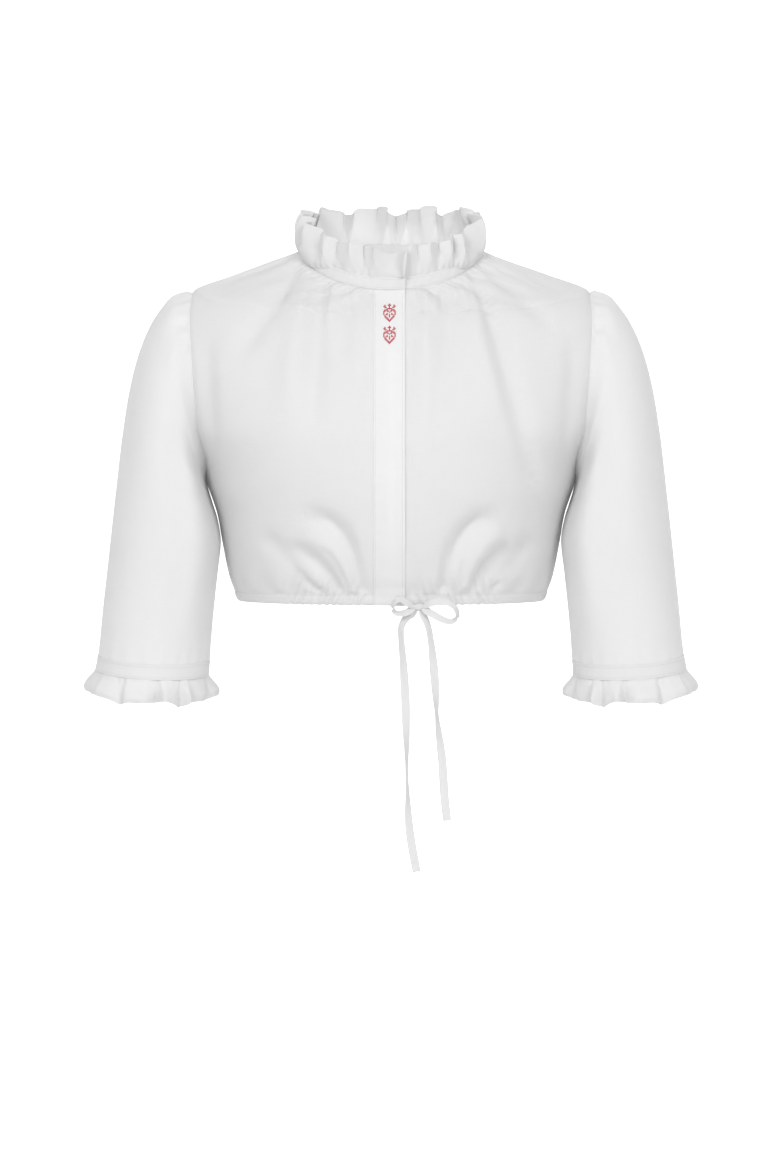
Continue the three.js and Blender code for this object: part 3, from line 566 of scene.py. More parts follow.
cottonLook = {
    "colour": (0.86, 0.86, 0.862), "shade": (0.81, 0.81, 0.812), "threadPitch": 0.42,
    "weaveBump": 0.35, "slubBump": 0.25, "roughness": 0.88, "sheen": 0.2, "translucency": 0.34,
}
ruffleLook = dict(cottonLook, colour=(0.87, 0.87, 0.872), shade=(0.82, 0.82, 0.822), translucency=0.4)
tapeLook = dict(cottonLook, colour=(0.83, 0.83, 0.832), shade=(0.77, 0.77, 0.772), threadPitch=0.3)
cotton = clothMaterial("cotton", cottonLook)
ruffleCotton = clothMaterial("ruffle cotton", ruffleLook)
tapeCotton = clothMaterial("tape cotton", tapeLook)
# the placket is folded double, so less light goes through it
doubleLook = dict(cottonLook, colour=(0.885, 0.885, 0.887), shade=(0.84, 0.84, 0.842), translucency=0.26)
doubleCotton = clothMaterial("double cotton", doubleLook)
# painted light: the sleeves are the body's cotton, with their colour painted a little lighter than the body
# to stand for the brighter light on them
litSleeveLook = dict(cottonLook, colour=(0.89, 0.89, 0.892), shade=(0.845, 0.845, 0.847))
litSleeveCotton = clothMaterial("lit sleeve cotton", litSleeveLook)


def threadMaterial(name, colour, sheen):
    material = bpy.data.materials.new(name)
    material.use_nodes = True
    tree = material.node_tree
    shader = tree.nodes["Principled BSDF"]
    where = addNode(tree, "ShaderNodeTexCoord").outputs["Object"]
    strand = addNode(tree, "ShaderNodeTexNoise", {"Vector": where, "Scale": 2600.0, "Detail": 2.0})
    dark = [0.72 * part for part in colour]
    shown = colourRamp(tree, strand.outputs["Fac"], (0.3, dark), (0.7, colour))
    bump = addNode(tree, "ShaderNodeBump", {
        "Height": strand.outputs["Fac"], "Strength": 0.5, "Distance": 0.0001,
    })
    tree.links.new(shown, shader.inputs["Base Color"])
    tree.links.new(bump.outputs["Normal"], shader.inputs["Normal"])
    shader.inputs["Roughness"].default_value = 0.6
    shader.inputs["Sheen Weight"].default_value = sheen
    return material


whiteThread = threadMaterial("white thread", (0.8, 0.8, 0.82), 0.2)
redThread = threadMaterial("red thread", (0.62, 0.01, 0.035), 0.3)
print("materials made")


# The tape: a flat ribbon along a route, pinched at the knot and turned as the table says
tape = {
    "width": 8.0,
    "thickness": 0.9,
    "pinched": 0.34,
    "pinchLength": 7.0,
    "crease": 0.16,
    "hemLength": 7,
    "hemExtra": 0.7,
    "sides": 16,
    "step": 1.2,
}
knot = {
    "x": 25,
    "y": -108,
    "z": -318.8,
    "radiusX": 5.2,
    "radiusY": 4.0,
    "radiusZ": 2.9,
    "taper": 0.35,
    "lean": 0.9,
    "hollow": 0.3,
}

# x, y, z and the angle in degrees that the flat side is turned from the front
tapeRoutes = {
    "tie_loop_right": [
        (20.2, -109.6, -317.4, 38), (14.5, -112.9, -314.4, 44), (8.5, -114.3, -311.4, 54),
        (4.2, -114.8, -313, 60), (1.8, -114.3, -317.4, 64), (1.7, -114.1, -319.4, 68),
        (1.8, -113.9, -320.6, 112), (3, -113.8, -322.8, 118), (6, -113.8, -324.4, 124),
        (10.4, -114.1, -324.2, 134), (15.4, -113.7, -322.8, 140), (20.5, -110.3, -320.5, 142),
    ],
    "tie_loop_left": [
        (29.8, -109.4, -317.4, -40), (37, -113.1, -314.6, -38), (46, -114.8, -313, -42),
        (54, -114.8, -315.2, -50), (59.5, -114.3, -320, -56), (61, -113.8, -325.6, -62),
        (60.3, -113.8, -327.9, -67), (59.6, -113.8, -329, -113), (57.6, -113.8, -330.9, -120),
        (53.6, -114.3, -331.8, -128), (47, -114.8, -329.6, -138), (38.6, -114.5, -325.2, -144),
        (29.4, -110.2, -320.5, -148),
    ],
    "tie_end_right": [
        (22.5, -109.1, -322.7, 24), (14.8, -110.3, -328, 28), (9.8, -110.9, -336, 40),
        (9.4, -111.7, -347, 46), (11, -112.1, -366, 34), (12.4, -112.3, -388, 12),
        (13.4, -112.3, -408, -6), (13.8, -112.3, -426, -24), (14.2, -112.3, -442, -44),
        (14.4, -112.3, -458, -66), (14.6, -112.3, -474, -72), (15.2, -112.3, -490, -64),
        (15.8, -112.3, -508, -36), (17.4, -112.3, -526, -14), (20.4, -112.3, -545, -12),
        (23.6, -112.3, -562, -14),
    ],
    "tie_end_left": [
        (27.3, -109.1, -322.7, -38), (31.2, -110.9, -329.4, -36), (34.6, -111.3, -338.6, -44),
        (37, -111.9, -353, -40), (38.8, -112.3, -369, -18), (40.2, -112.3, -385, 8),
        (41.2, -112.3, -400, 34), (42, -112.3, -416, 64), (43.4, -112.3, -430, 50),
        (45.4, -112.3, -446, 24), (47.2, -112.3, -462, 10), (48.2, -112.3, -478, 4),
        (49.4, -112.3, -496, 8), (51.6, -112.3, -515, 14),
    ],
}


def blend(before, after, low, high, t):
    return ((high - t) * before + (t - low) * after) / (high - low)


def smoothRoute(route, step):
    # a centripetal curve through the route's points, at even steps along it
    known = np.array(route, float)
    padded = np.concatenate([2 * known[:1] - known[1:2], known, 2 * known[-1:] - known[-2:-1]])
    pieces = []
    for k in range(len(known) - 1):
        p = padded[k:k + 4]
        at = lengthAlong(p[:, :3], 0.5)
        t = np.linspace(at[1], at[2], 40, endpoint=False)[:, None]
        a = [blend(p[m], p[m + 1], at[m], at[m + 1], t) for m in range(3)]
        b = [blend(a[m], a[m + 1], at[m], at[m + 2], t) for m in range(2)]
        pieces.append(blend(b[0], b[1], at[1], at[2], t))
    dense = np.concatenate([*pieces, known[-1:]])
    along = lengthAlong(dense[:, :3])
    even = np.linspace(0, along[-1], max(8, round(along[-1] / step)) + 1)
    return np.stack([np.interp(even, along, dense[:, c]) for c in range(4)], axis=1), even


def ribbonMesh(name, route, isLoop, material):
    line, along = smoothRoute(route, tape["step"])
    place, face = line[:, :3], np.radians(line[:, 3])
    tangent = unit(np.gradient(place, axis=0))
    front = np.array([0.0, -1.0, 0.0])
    front = unit(front - tangent * (tangent @ front)[:, None])
    turned = front * np.cos(face)[:, None] + np.cross(tangent, front) * np.sin(face)[:, None]
    across = np.cross(tangent, turned)
    toKnot = np.minimum(along, along[-1] - along) if isLoop else along
    opened = fade(0, tape["pinchLength"], toKnot)
    width = tape["width"] * (tape["pinched"] + (1 - tape["pinched"]) * opened)
    fold = tape["crease"] * (1 - fade(2, 14, toKnot))  # the tape is creased along its middle near the knot
    sides = tape["sides"]
    around = np.linspace(0, 2 * np.pi, sides, endpoint=False)
    flat = np.sign(np.cos(around)) * np.abs(np.cos(around)) ** 0.35 * 0.5
    high = np.sign(np.sin(around)) * np.abs(np.sin(around)) ** 0.8 * 0.5
    hem = 1.0 + (0 if isLoop else tape["hemExtra"]) * fade(0, 0.4, along - (along[-1] - tape["hemLength"]))
    offset = flat[None, :] * width[:, None]
    rise = high[None, :] * (tape["thickness"] * hem)[:, None] - fold[:, None] * np.abs(offset)
    ring = place[:, None] + across[:, None] * offset[..., None] + turned[:, None] * rise[..., None]
    count = len(ring)
    vertices = ring.reshape(-1, 3) * mm
    i = np.arange(count - 1)[:, None]
    k = np.arange(sides)[None, :]
    a = (i * sides + k).ravel()
    b = (i * sides + (k + 1) % sides).ravel()
    faces = np.stack([a, b, b + sides, a + sides], 1)
    half = sides // 2
    caps = []
    for start, flip in ((0, False), ((count - 1) * sides, True)):
        for m in range(half - 1):
            quad = [start + m, start + m + 1, start + (sides - 2 - m), start + (sides - 1 - m)]
            caps.append(quad if flip else quad[::-1])
    faces = np.concatenate([faces, np.array(caps)])
    if signedVolume(vertices, faces) < 0:
        faces = faces[:, ::-1]
    ribbonUv = np.stack(np.broadcast_arrays(offset * mm, (along * mm)[:, None]), -1).reshape(-1, 2)
    made = meshObject(name, vertices, faces, material, ribbonUv[faces.ravel()])
    return made, place * mm, along[-1] * mm


def intoKnot(point):
    # the point's place halfway into the knot, where the tape's end is hidden
    return (*((point[k] + knot[axis]) / 2 for k, axis in enumerate(("x", "y", "z"))), point[3])


def makeTies():
    for node, route in tapeRoutes.items():
        isLoop = "loop" in node
        route = [intoKnot(route[0]), *route, *([intoKnot(route[-1])] if isLoop else [])]
        piece, path, length = ribbonMesh(f"{node}_tape", route, isLoop, tapeCotton)
        finishPiece(piece, [node])


makeTies()
print("ties made")


# The knot: a small firm bundle with the tape wound round it
def makeKnot():
    hollow = knot["hollow"]
    around = spread(0, 2 * np.pi, 48)[:-1]
    rows = spread(-1, 1, 24)
    u, v = np.meshgrid(around, rows, indexing="ij")
    # the wound tape: a barrel lying along x, with its edges turned in
    swell = 1 - knot["taper"] * np.abs(v) ** 2.4
    lean = knot["lean"] * np.sin(u + 0.6)
    wrap = 0.25 * np.cos(3 * u + 2.0 * v) + 0.12 * np.cos(7 * u - 3 * v)
    radiusY = (knot["radiusY"] - 0.3 + wrap) * swell
    radiusZ = (knot["radiusZ"] + 0.3 + wrap) * swell
    x = knot["x"] + v * (knot["radiusX"] - 0.6) + lean
    outer = points(x, knot["y"] + radiusY * np.cos(u), knot["z"] + radiusZ * np.sin(u))
    inner = points(x * 0.98 + knot["x"] * 0.02, knot["y"] + radiusY * hollow * np.cos(u),
                   knot["z"] + radiusZ * hollow * np.sin(u))
    piece = gridMesh("tie_knot_tape", outer, inner, tapeCotton, closed=True)
    finishPiece(piece, ["tie_knot"])


makeKnot()


# Fronts and back
cloth = {
    "thickness": 0.35,
    "frontColumns": 150,
    "backColumns": 210,
    "lowerRows": 46,
    "armholeRows": 60,
    "shoulderRows": 32,
}


def panelRows():
    lower = spread(body["casingTop"], body["underarmHeight"], cloth["lowerRows"])[:-1]
    rise = (1 - np.cos(spread(0, np.pi, cloth["armholeRows"]))) / 2
    armhole = body["underarmHeight"] + rise * (body["shoulderTipHeight"] - body["underarmHeight"])
    shoulder = spread(body["shoulderTipHeight"], body["neckSeamHeight"], cloth["shoulderRows"])[1:]
    return np.concatenate([lower, armhole, shoulder])


def makePanel(name, node, face, turns):
    turn, side = np.meshgrid(turns, panelRows(), indexing="ij")
    outer = bodyPoint(face, turn, side)
    inner = outer - bodyNormal(face, turn * edgeAngle(face, side), side) * cloth["thickness"]
    piece = gridMesh(name, outer, inner, cotton)
    finishPiece(piece, [node])
    return piece


frontTurns = spread(0.008, 1.0, cloth["frontColumns"])
makePanel("front_left_cloth", "front_left", -1, frontTurns)
makePanel("front_right_cloth", "front_right", -1, -frontTurns)
makePanel("back_cloth", "back", 1, spread(-1.0, 1.0, cloth["backColumns"]))
print("panels made")


# Hem casings
casingMiddle = (body["casingTop"] + body["casingBottom"]) / 2
casingHalf = (body["casingTop"] - body["casingBottom"]) / 2


def casingPoint(face, turn, height, depth):
    # depth runs from -1 on the inner face to 1 on the outer one
    base = plainBody(face, turn * (np.pi / 2), height)
    down = np.clip((casingMiddle + casingHalf - height) / (2 * casingHalf), 0, 1)
    turned = np.clip((down - 0.72) / 0.28, 0, 1) ** 2
    swell = np.sin(np.pi * np.clip(down, 0.02, 0.98)) ** 0.7
    if depth > 0:
        reach = casing["bulge"] * fade(0.04, 0.42, down) - 0.05 - (casing["thickness"] / 2) * turned
    else:
        reach = -0.5 - (casing["thickness"] - 0.5) * swell - (casing["thickness"] / 2 - 0.5) * turned
    pleats = pleatHeight(face, base[..., 0], height - casingMiddle) * (1.0 if depth > 0 else 0.4)
    normal = bodyNormal(face, turn * (np.pi / 2), height)
    return base + normal * (reach + pleats)[..., None]


def makeCasing(name, node, face, turns):
    heights = casingMiddle - casingHalf * np.cos(spread(0, np.pi, 14))
    turn, height = np.meshgrid(turns, heights, indexing="ij")
    outer = casingPoint(face, turn, height, 1.0)
    inner = casingPoint(face, turn, height, -1.0)
    piece = gridMesh(name, outer, inner, cotton)
    finishPiece(piece, [node])


frontSpread = spread(0.008, 1.0, 240)
makeCasing("casing_left_cloth", "casing_left", -1, frontSpread)
makeCasing("casing_right_cloth", "casing_right", -1, -frontSpread)
makeCasing("casing_back_cloth", "casing_back", 1, spread(-1.0, 1.0, 360))


# Placket over the hidden closure
def turnAt(face, x, side):
    return np.arcsin(x / ovalWidth(face, side)) / edgeAngle(face, side)


def edgeRounding(distance, radius):
    near = np.clip(distance / radius, 0, 1)
    return radius * (1 - np.sqrt(1 - (1 - near) ** 2))


def placketPoint(x, side, depth):
    # depth is 1 on the outer face and 0 on the inner one
    top = body["casingTop"]
    bulge = casing["bulge"] * (1 - fade(top, top + 8, side))
    bulge = bulge * fade(body["casingBottom"] - 1, body["casingBottom"] + 4, side)
    rounding = edgeRounding(np.minimum(x - placket["left"], placket["right"] - x), placket["thickness"] / 2)
    puff = 0.1 * np.sin(side * 0.21 + 0.4) + 0.08 * np.sin(side * 0.47 + x * 0.1)
    loose = (0.75 + 0.3 * np.sin(side * 0.05 + 0.5)) * fade(-8, placket["right"], x)
    loose = placket["freeEdgeLift"] * loose
    lift = bulge + placket["lift"] + loose + puff
    lift = lift + (placket["thickness"] - rounding if depth else rounding * 0.98)
    return bodyPoint(-1, turnAt(-1, x, side), side, lift)


def makePlacket():
    rows = np.concatenate([spread(body["casingBottom"], body["casingTop"], 8)[:-1], panelRows()[:-2]])
    rows = np.append(rows, body["neckSeamHeight"] - placket["belowBand"])
    left, right, edge = placket["left"], placket["right"], placket["edgeWidth"]
    across = stretches(left, 6, left + edge, 30, right - edge, 6, right)
    x, side = np.meshgrid(across, rows, indexing="ij")
    piece = gridMesh("placket_cloth", placketPoint(x, side, 1), placketPoint(x, side, 0), doubleCotton)
    finishPiece(piece, ["placket"])


makePlacket()
print("placket and casings made")


# Neckband and its ruffle. Start and end are angles in radians from the centre front
neckband = {
    "height": 11, "thickness": 1.2, "lean": 1.2, "columns": 420,
    "lap": 2.2, "lapLength": 0.5, "start": -0.155, "end": 6.24,
}
neckRuffle = {
    "waves": 20, "columns": 676, "height": 28, "length": 28, "sideDrop": 5, "lean": 2.5,
    "waveHeight": 5.8, "footHeight": 0.7, "edgeRipple": 1.3, "backRise": 3.4, "backPeaks": 2.8,
    "lap": 3.6, "lapLength": 0.35, "start": -0.235, "end": 6.12,
    "lapDip": 5, "lapMiddle": 0.02, "lapDipWidth": 0.16,
    "curlFrom": -0.135, "curlScale": 84, "curlRadius": 1.3, "curlGrowth": 1.7,
    "coverDepth": 11.4, "coverLift": 1.9, "coverRoll": 2.4,
    "thickness": 0.35, "hemWidth": 1.6, "hemThickness": 0.75,
}


def neckPoint(theta):
    # theta runs from the centre front past the wearer's right to the back
    theta = np.asarray(theta, float)
    isFront = np.cos(theta) > 0
    front = plainBody(-1, -theta, body["neckSeamHeight"])
    back = plainBody(1, theta - np.pi, body["neckSeamHeight"])
    return np.where(isFront[..., None], front, back)


def neckOutward(theta):
    along = neckPoint(theta + 0.01) - neckPoint(theta - 0.01)
    return unit(np.cross(np.array([0.0, 0.0, 1.0]), along))


def raised(place, height):
    place = place.copy()
    place[..., 2] += height
    return place


def lapAt(strip, theta):
    # the upper end stands further out, over the lower one
    return strip["lap"] * (1 - fade(strip["start"], strip["start"] + strip["lapLength"], theta))


def bandPoint(theta, height, inward=0.0):
    out = lapAt(neckband, theta) - inward - neckband["lean"] * height / neckband["height"]
    return raised(neckPoint(theta) + neckOutward(theta) * out[..., None], height)


def makeNeckband():
    half, top = neckband["thickness"] / 2, neckband["height"]
    heights = stretches(-0.4, 4, 0.5, 12, top - 0.4, 4, top + 0.3)
    around = spread(neckband["start"], neckband["end"], neckband["columns"])
    theta, height = np.meshgrid(around, heights, indexing="ij")
    fromEdge = np.minimum(height + 0.4, top + 0.3 - height)
    soft = 0.12 * np.sin(theta * 31 + 0.5) * np.sin(height * 0.5) + 0.08 * np.sin(theta * 57 + height * 0.3)
    rounding = edgeRounding(fromEdge, half)
    outer = bandPoint(theta, height, rounding - soft)
    inner = bandPoint(theta, height, neckband["thickness"] - rounding * 0.98)
    piece = gridMesh("neckband_cloth", outer, inner, cotton)
    finishPiece(piece, ["neckband"])


def unevenWave(share, count):
    drift = 0.22 * np.sin(2 * np.pi * 3 * share + 1) + 0.16 * np.sin(2 * np.pi * 5 * share + 2.4)
    drift = drift + 0.12 * np.sin(2 * np.pi * 11 * share + 0.8)
    swell = 1 + 0.26 * np.sin(2 * np.pi * 4 * share + 0.6) + 0.2 * np.sin(2 * np.pi * 9 * share)
    return 2 * np.pi * (count * share + drift), swell


def waveGrowth(ruffle, share):
    # the waves are low at the foot and full near the free edge
    return ruffle["footHeight"] + (ruffle["waveHeight"] - ruffle["footHeight"]) * fade(0, 0.9, share)


def neckRufflePoint(theta, rise):
    share = (theta - neckRuffle["start"]) / (neckRuffle["end"] - neckRuffle["start"])
    turn, swell = unevenWave(share, neckRuffle["waves"])
    ends = fade(0, 0.03, share) * fade(0, 0.03, 1 - share)
    growth = waveGrowth(neckRuffle, rise)
    wave = growth * swell * np.sin(turn + 0.25 * np.sin(turn)) * (0.15 + 0.85 * ends)
    slide = 0.34 * growth * np.sin(2 * turn + 0.3) * ends * fade(0.1, 0.7, rise)
    # small tucks at the foot, between the waves
    wave = wave + 0.45 * np.sin(turn * 3 + 1.2) * (1 - fade(0, 0.45, rise)) * ends
    sides = np.sin(theta) ** 2
    fromLap = [theta - turns * 2 * np.pi - neckRuffle["lapMiddle"] for turns in (0, 1)]
    atLap = sum(np.exp(-((angle / neckRuffle["lapDipWidth"]) ** 2)) for angle in fromLap)
    height = neckRuffle["height"] - neckRuffle["sideDrop"] * sides * np.abs(np.sin(theta))
    height = height - neckRuffle["lapDip"] * atLap
    # at the back the edge stands higher, in uneven peaks
    atBack = fade(0.2, -0.6, np.cos(theta))
    peaks = np.sin(11 * theta + 0.6) + 0.45 * np.sin(23 * theta)
    height = height + atBack * (neckRuffle["backRise"] + neckRuffle["backPeaks"] * peaks)
    edge = neckRuffle["edgeRipple"] * np.cos(turn * 0.5 + 0.7) * rise + 1.1 * np.sin(turn + 0.9) * rise
    lean = neckRuffle["lean"] * np.sin(np.pi * rise * 0.8) - 5.5 * sides * rise * rise
    # at the sides the ruffle's gathers roll out over the band and hide it
    covered = fade(0.6, 0.92, np.abs(np.sin(theta)))
    start = neckband["height"] - neckRuffle["coverDepth"] * covered * (1 - rise)
    foot = bandPoint(theta, start, neckband["thickness"] / 2)
    roll = neckRuffle["coverLift"] + neckRuffle["coverRoll"] * np.sin(np.pi * np.clip(rise * 2.0, 0, 1))
    roll = covered * (1 - rise) * roll
    out = wave + lapAt(neckRuffle, theta) + lean + roll
    # the upper end is rolled back on itself in a small loop
    past = np.clip((neckRuffle["curlFrom"] - theta) * neckRuffle["curlScale"], 0, None)
    radius = neckRuffle["curlRadius"] + neckRuffle["curlGrowth"] * rise
    rolled = past / radius
    slide = slide + past - radius * np.sin(rolled)
    out = out + radius * (1 - np.cos(rolled))
    outward = neckOutward(theta)
    along = np.cross(np.array([0.0, 0.0, 1.0]), outward)
    return raised(foot + outward * out[..., None] - along * slide[..., None], height * rise + edge)


def makeRuffle(name, node, turns, pointAt, size, rows, closed):
    turn, along = np.meshgrid(turns, rows, indexing="ij")
    middle = pointAt(turn, along)
    normal = surfaceNormal(pointAt, turn, along, 0.002, 0.004)
    fromEdge = (1 - along) * size["length"]
    inHem = 1 - fade(size["hemWidth"] - 0.3, size["hemWidth"], fromEdge)
    hem = size["thickness"] + (size["hemThickness"] - size["thickness"]) * inHem
    thick = (hem * (0.55 + 0.45 * fade(0, 0.3, fromEdge)) / 2)[..., None]
    piece = gridMesh(name, middle + normal * thick, middle - normal * thick, ruffleCotton, closed)
    finishPiece(piece, [node])
    return piece


makeNeckband()
ruffleRows = stretches(0, 24, 0.9, 10, 1.0)
ruffleTurns = spread(neckRuffle["start"], neckRuffle["end"], neckRuffle["columns"])
makeRuffle("neck_ruffle_cloth", "neck_ruffle", ruffleTurns, neckRufflePoint,
           neckRuffle, ruffleRows, False)
print("neck made")


# Sleeves
sleeveRings = namedRows("ring outerX outerZ innerX innerZ halfDepth midY tilt", [
    (0, 184, -32, 172, -205, 60, 4, 0),
    (1, 200, -35, 171.5, -208, 63, 4, 0),
    (2, 217, -52, 170.5, -212, 66, 3, 0),
    (3, 231, -80, 168.5, -219, 65, -1, 0),
    (4, 242, -118, 165, -229, 62, -8, 0),
    (5, 250, -166, 160.5, -243, 58, -17, 0),
    (6, 256, -221, 157.5, -263, 54, -24, 1),
    (7, 262, -280, 160.5, -293, 50, -28, 2),
    (8, 268, -332, 165, -336, 48, -29, 4),
    (9, 271.5, -367, 168, -371.5, 46, -29, 5),
    (10, 274, -380, 169, -385, 47, -29, 5),
])
sleeve = {
    "capCount": 12, "capHeight": 1.5, "capReach": 34, "capSpread": 1.25,
    "fineCount": 27, "fineHeight": 0.75, "fineReach": 20,
    "cuffCount": 22, "cuffHeight": 0.35, "cuffReach": 26, "innerFullness": 0.22,
    "radius": 55, "columns": 168, "lastRing": 9, "lastRingGap": 38, "cuffRing": 10, "seamTuck": 1.6,
}
readSleeve = readTable(sleeveRings, "ring")


def armholePoint(psi):
    # psi runs from the shoulder tip down the front to the underarm and up the back
    isFront = psi <= np.pi
    down = np.where(isFront, psi, 2 * np.pi - psi)
    rise = (1 + np.cos(down)) / 2
    side = body["underarmHeight"] + rise * (body["shoulderTipHeight"] - body["underarmHeight"])
    front = plainBody(-1, edgeAngle(-1, side), side)
    back = plainBody(1, edgeAngle(1, side), side)
    return np.where(isFront[..., None], front, back)


def plainSleeve(psi, ringNumber):
    ring = readSleeve(ringNumber)
    outer = points(ring["outerX"], ring["midY"], ring["outerZ"])
    inner = points(ring["innerX"], ring["midY"], ring["innerZ"])
    centre = (outer + inner) / 2
    place = centre + (outer - centre) * np.cos(psi)[..., None]
    isInnerFront = (psi > np.pi / 2) & (psi < np.pi)
    length = between(2.2, 4, 7, 9, ringNumber)
    full = np.where(isInnerFront, sleeve["innerFullness"] * length * np.sin(2 * psi) ** 2, 0)
    place[..., 1] -= ring["halfDepth"] * np.sin(psi) * (1 + full)
    place[..., 2] -= ring["tilt"] * np.sin(psi)
    return place


def sleeveBase(psi, ringNumber):
    start = armholePoint(psi) - plainSleeve(psi, np.zeros_like(psi))
    return plainSleeve(psi, ringNumber) + start * (1 - fade(0, 2.2, ringNumber))[..., None]


def sleeveNormal(psi, ringNumber):
    return surfaceNormal(plainSleeve, psi, np.maximum(ringNumber, 0.25), 0.01, 0.05)


def sleevePoint(psi, ringNumber, arm):
    fromTop = np.minimum(psi, 2 * np.pi - psi)
    base = sleeveBase(psi, ringNumber)
    distance = np.linalg.norm(base - sleeveBase(psi, np.zeros_like(psi)), axis=-1)
    nearTop = 1 - fade(sleeve["capSpread"] - 0.2, sleeve["capSpread"], fromTop)
    envelope = between(0, 5, 6, sleeve["capReach"], distance)
    height = sleeve["capHeight"] * np.cos(sleeve["capCount"] * fromTop) * envelope * nearTop
    fineEnvelope = between(0, 3, 5, sleeve["fineReach"], distance)
    height += sleeve["fineHeight"] * np.cos(sleeve["fineCount"] * fromTop + arm) * fineEnvelope * nearTop
    toCuff = np.clip((sleeve["lastRing"] - ringNumber) * sleeve["lastRingGap"], 0, None)
    cuffWave = np.cos(sleeve["cuffCount"] * psi + 1.5 * np.sin(3 * psi) + arm)
    height += sleeve["cuffHeight"] * cuffWave * between(0, 3, 4, sleeve["cuffReach"], toCuff)
    drape = [
        (2.0, 0.5, 0.3 + arm, 0.6),
        (3.0, -0.9, 1.7, 0.35),
        (5.0, 0.6, 3.9 + arm, 0.2),
        (1.0, 1.7, 2.0, 0.25),
    ]
    calm = (0.4 + 0.6 * fade(0, 60, toCuff)) * (1 - 0.85 * fade(2.2, 3.0, fromTop))
    height += ripple(psi, ringNumber, drape) * fade(18, 70, distance) * calm
    height -= 0.2 * np.exp(-((distance / 1.6) ** 2)) + 0.2 * np.exp(-((toCuff / 1.6) ** 2))
    # the underarm seam
    seam = (np.pi - fromTop) * sleeve["radius"]
    height -= 0.35 * np.exp(-((seam / 1.3) ** 2))
    return base + sleeveNormal(psi, ringNumber) * height[..., None]


def fullTurn(columns):
    return np.arange(columns) * 2 * np.pi / columns


def forArm(place, arm):
    place = place.copy()
    place[..., 0] *= arm
    return place


def makeSleeve(sideName, arm):
    rings = stretches(0, 50, 3, 80, sleeve["lastRing"])
    psi, ring = np.meshgrid(fullTurn(sleeve["columns"]), rings, indexing="ij")
    outer = sleevePoint(psi, ring, 0.0 if arm > 0 else 1.3)
    inner = outer - sleeveNormal(psi, ring) * cloth["thickness"]
    # the first row is tucked into the armhole's seam
    tuck = np.array([sleeve["seamTuck"], 0, 0])
    outer[:, 0] -= sleeveNormal(psi, ring)[:, 0] * 0.5 + tuck
    inner[:, 0] -= tuck
    node = f"sleeve_{sideName}"
    piece = gridMesh(f"{node}_cloth", forArm(outer, arm), forArm(inner, arm), litSleeveCotton, closed=True)
    finishPiece(piece, [node])


# Cuff bands: low and high are shares of the band's height, and the rest is in millimetres
cuffBand = {
    "columns": 160, "low": -0.03, "high": 1.03, "height": 13,
    "lift": 0.3, "depth": 0.8, "edgeRadius": 0.4, "puff": 0.12,
}


def makeCuffBand(sideName, arm):
    low, high = cuffBand["low"], cuffBand["high"]
    rows = stretches(low, 4, 0.05, 12, 0.95, 4, high)
    psi, along = np.meshgrid(fullTurn(cuffBand["columns"]), rows, indexing="ij")
    ring = sleeve["lastRing"] + along
    normal = sleeveNormal(psi, ring - 0.15)
    fromEdge = np.minimum(along - low, high - along) * cuffBand["height"]
    rounding = edgeRounding(fromEdge, cuffBand["edgeRadius"])
    soft = cuffBand["puff"] * np.sin(psi * 13 + arm) * np.sin(np.pi * along)
    base = plainSleeve(psi, ring)
    outer = base + normal * (cuffBand["lift"] - rounding + soft)[..., None]
    inner = base + normal * (-cuffBand["depth"] + rounding * 0.98)[..., None]
    node = f"cuff_band_{sideName}"
    piece = gridMesh(f"{node}_cloth", forArm(outer, arm), forArm(inner, arm), cotton, closed=True)
    finishPiece(piece, [node])


cuffRuffle = {
    "waves": 11, "columnsPerWave": 30, "depth": 22, "length": 24,
    "flare": 9, "turnIn": 2, "inset": 2.0,
    "waveHeight": 4.6, "footHeight": 0.7, "edgeRipple": 2.2,
    "thickness": 0.35, "hemWidth": 1.6, "hemThickness": 0.75,
}


def cuffRufflePoint(psi, drop):
    turn, swell = unevenWave(psi / (2 * np.pi), cuffRuffle["waves"])
    growth = waveGrowth(cuffRuffle, drop)
    roll = cuffRuffle["flare"] * fade(-0.25, 0.85, drop) - cuffRuffle["turnIn"] * drop ** 3
    out = roll + growth * swell * np.sin(turn + 0.5 * np.sin(turn)) - cuffRuffle["inset"]
    out = out + 0.5 * np.sin(turn * 3 + 0.7) * (1 - fade(0, 0.5, drop)) * fade(0, 0.12, drop)
    ring = readSleeve(sleeve["cuffRing"])
    tilt = math.atan2(ring["outerZ"] - ring["innerZ"], ring["outerX"] - ring["innerX"])
    down = np.array([math.sin(tilt), 0.0, -math.cos(tilt)])
    outward = points(np.cos(psi), -np.sin(psi), 0 * psi)
    edge = (cuffRuffle["edgeRipple"] * np.cos(turn * 0.5 + 0.4) - 1.2 * np.sin(turn)) * drop
    foot = plainSleeve(psi, np.full_like(psi, sleeve["cuffRing"]))
    return foot + outward * out[..., None] + down * (cuffRuffle["depth"] * drop + edge + 0.1)[..., None]


def makeCuffRuffle(sideName, arm):
    rows = stretches(0, 18, 0.88, 8, 1.0)
    turns = fullTurn(cuffRuffle["waves"] * cuffRuffle["columnsPerWave"])
    makeRuffle(f"cuff_ruffle_{sideName}_cloth", f"cuff_ruffle_{sideName}", turns,
               lambda psi, drop: forArm(cuffRufflePoint(psi, drop), arm), cuffRuffle, rows, True)


for sideName, arm in (("left", 1), ("right", -1)):
    makeSleeve(sideName, arm)
    makeCuffBand(sideName, arm)
    makeCuffRuffle(sideName, arm)
print("sleeves made")


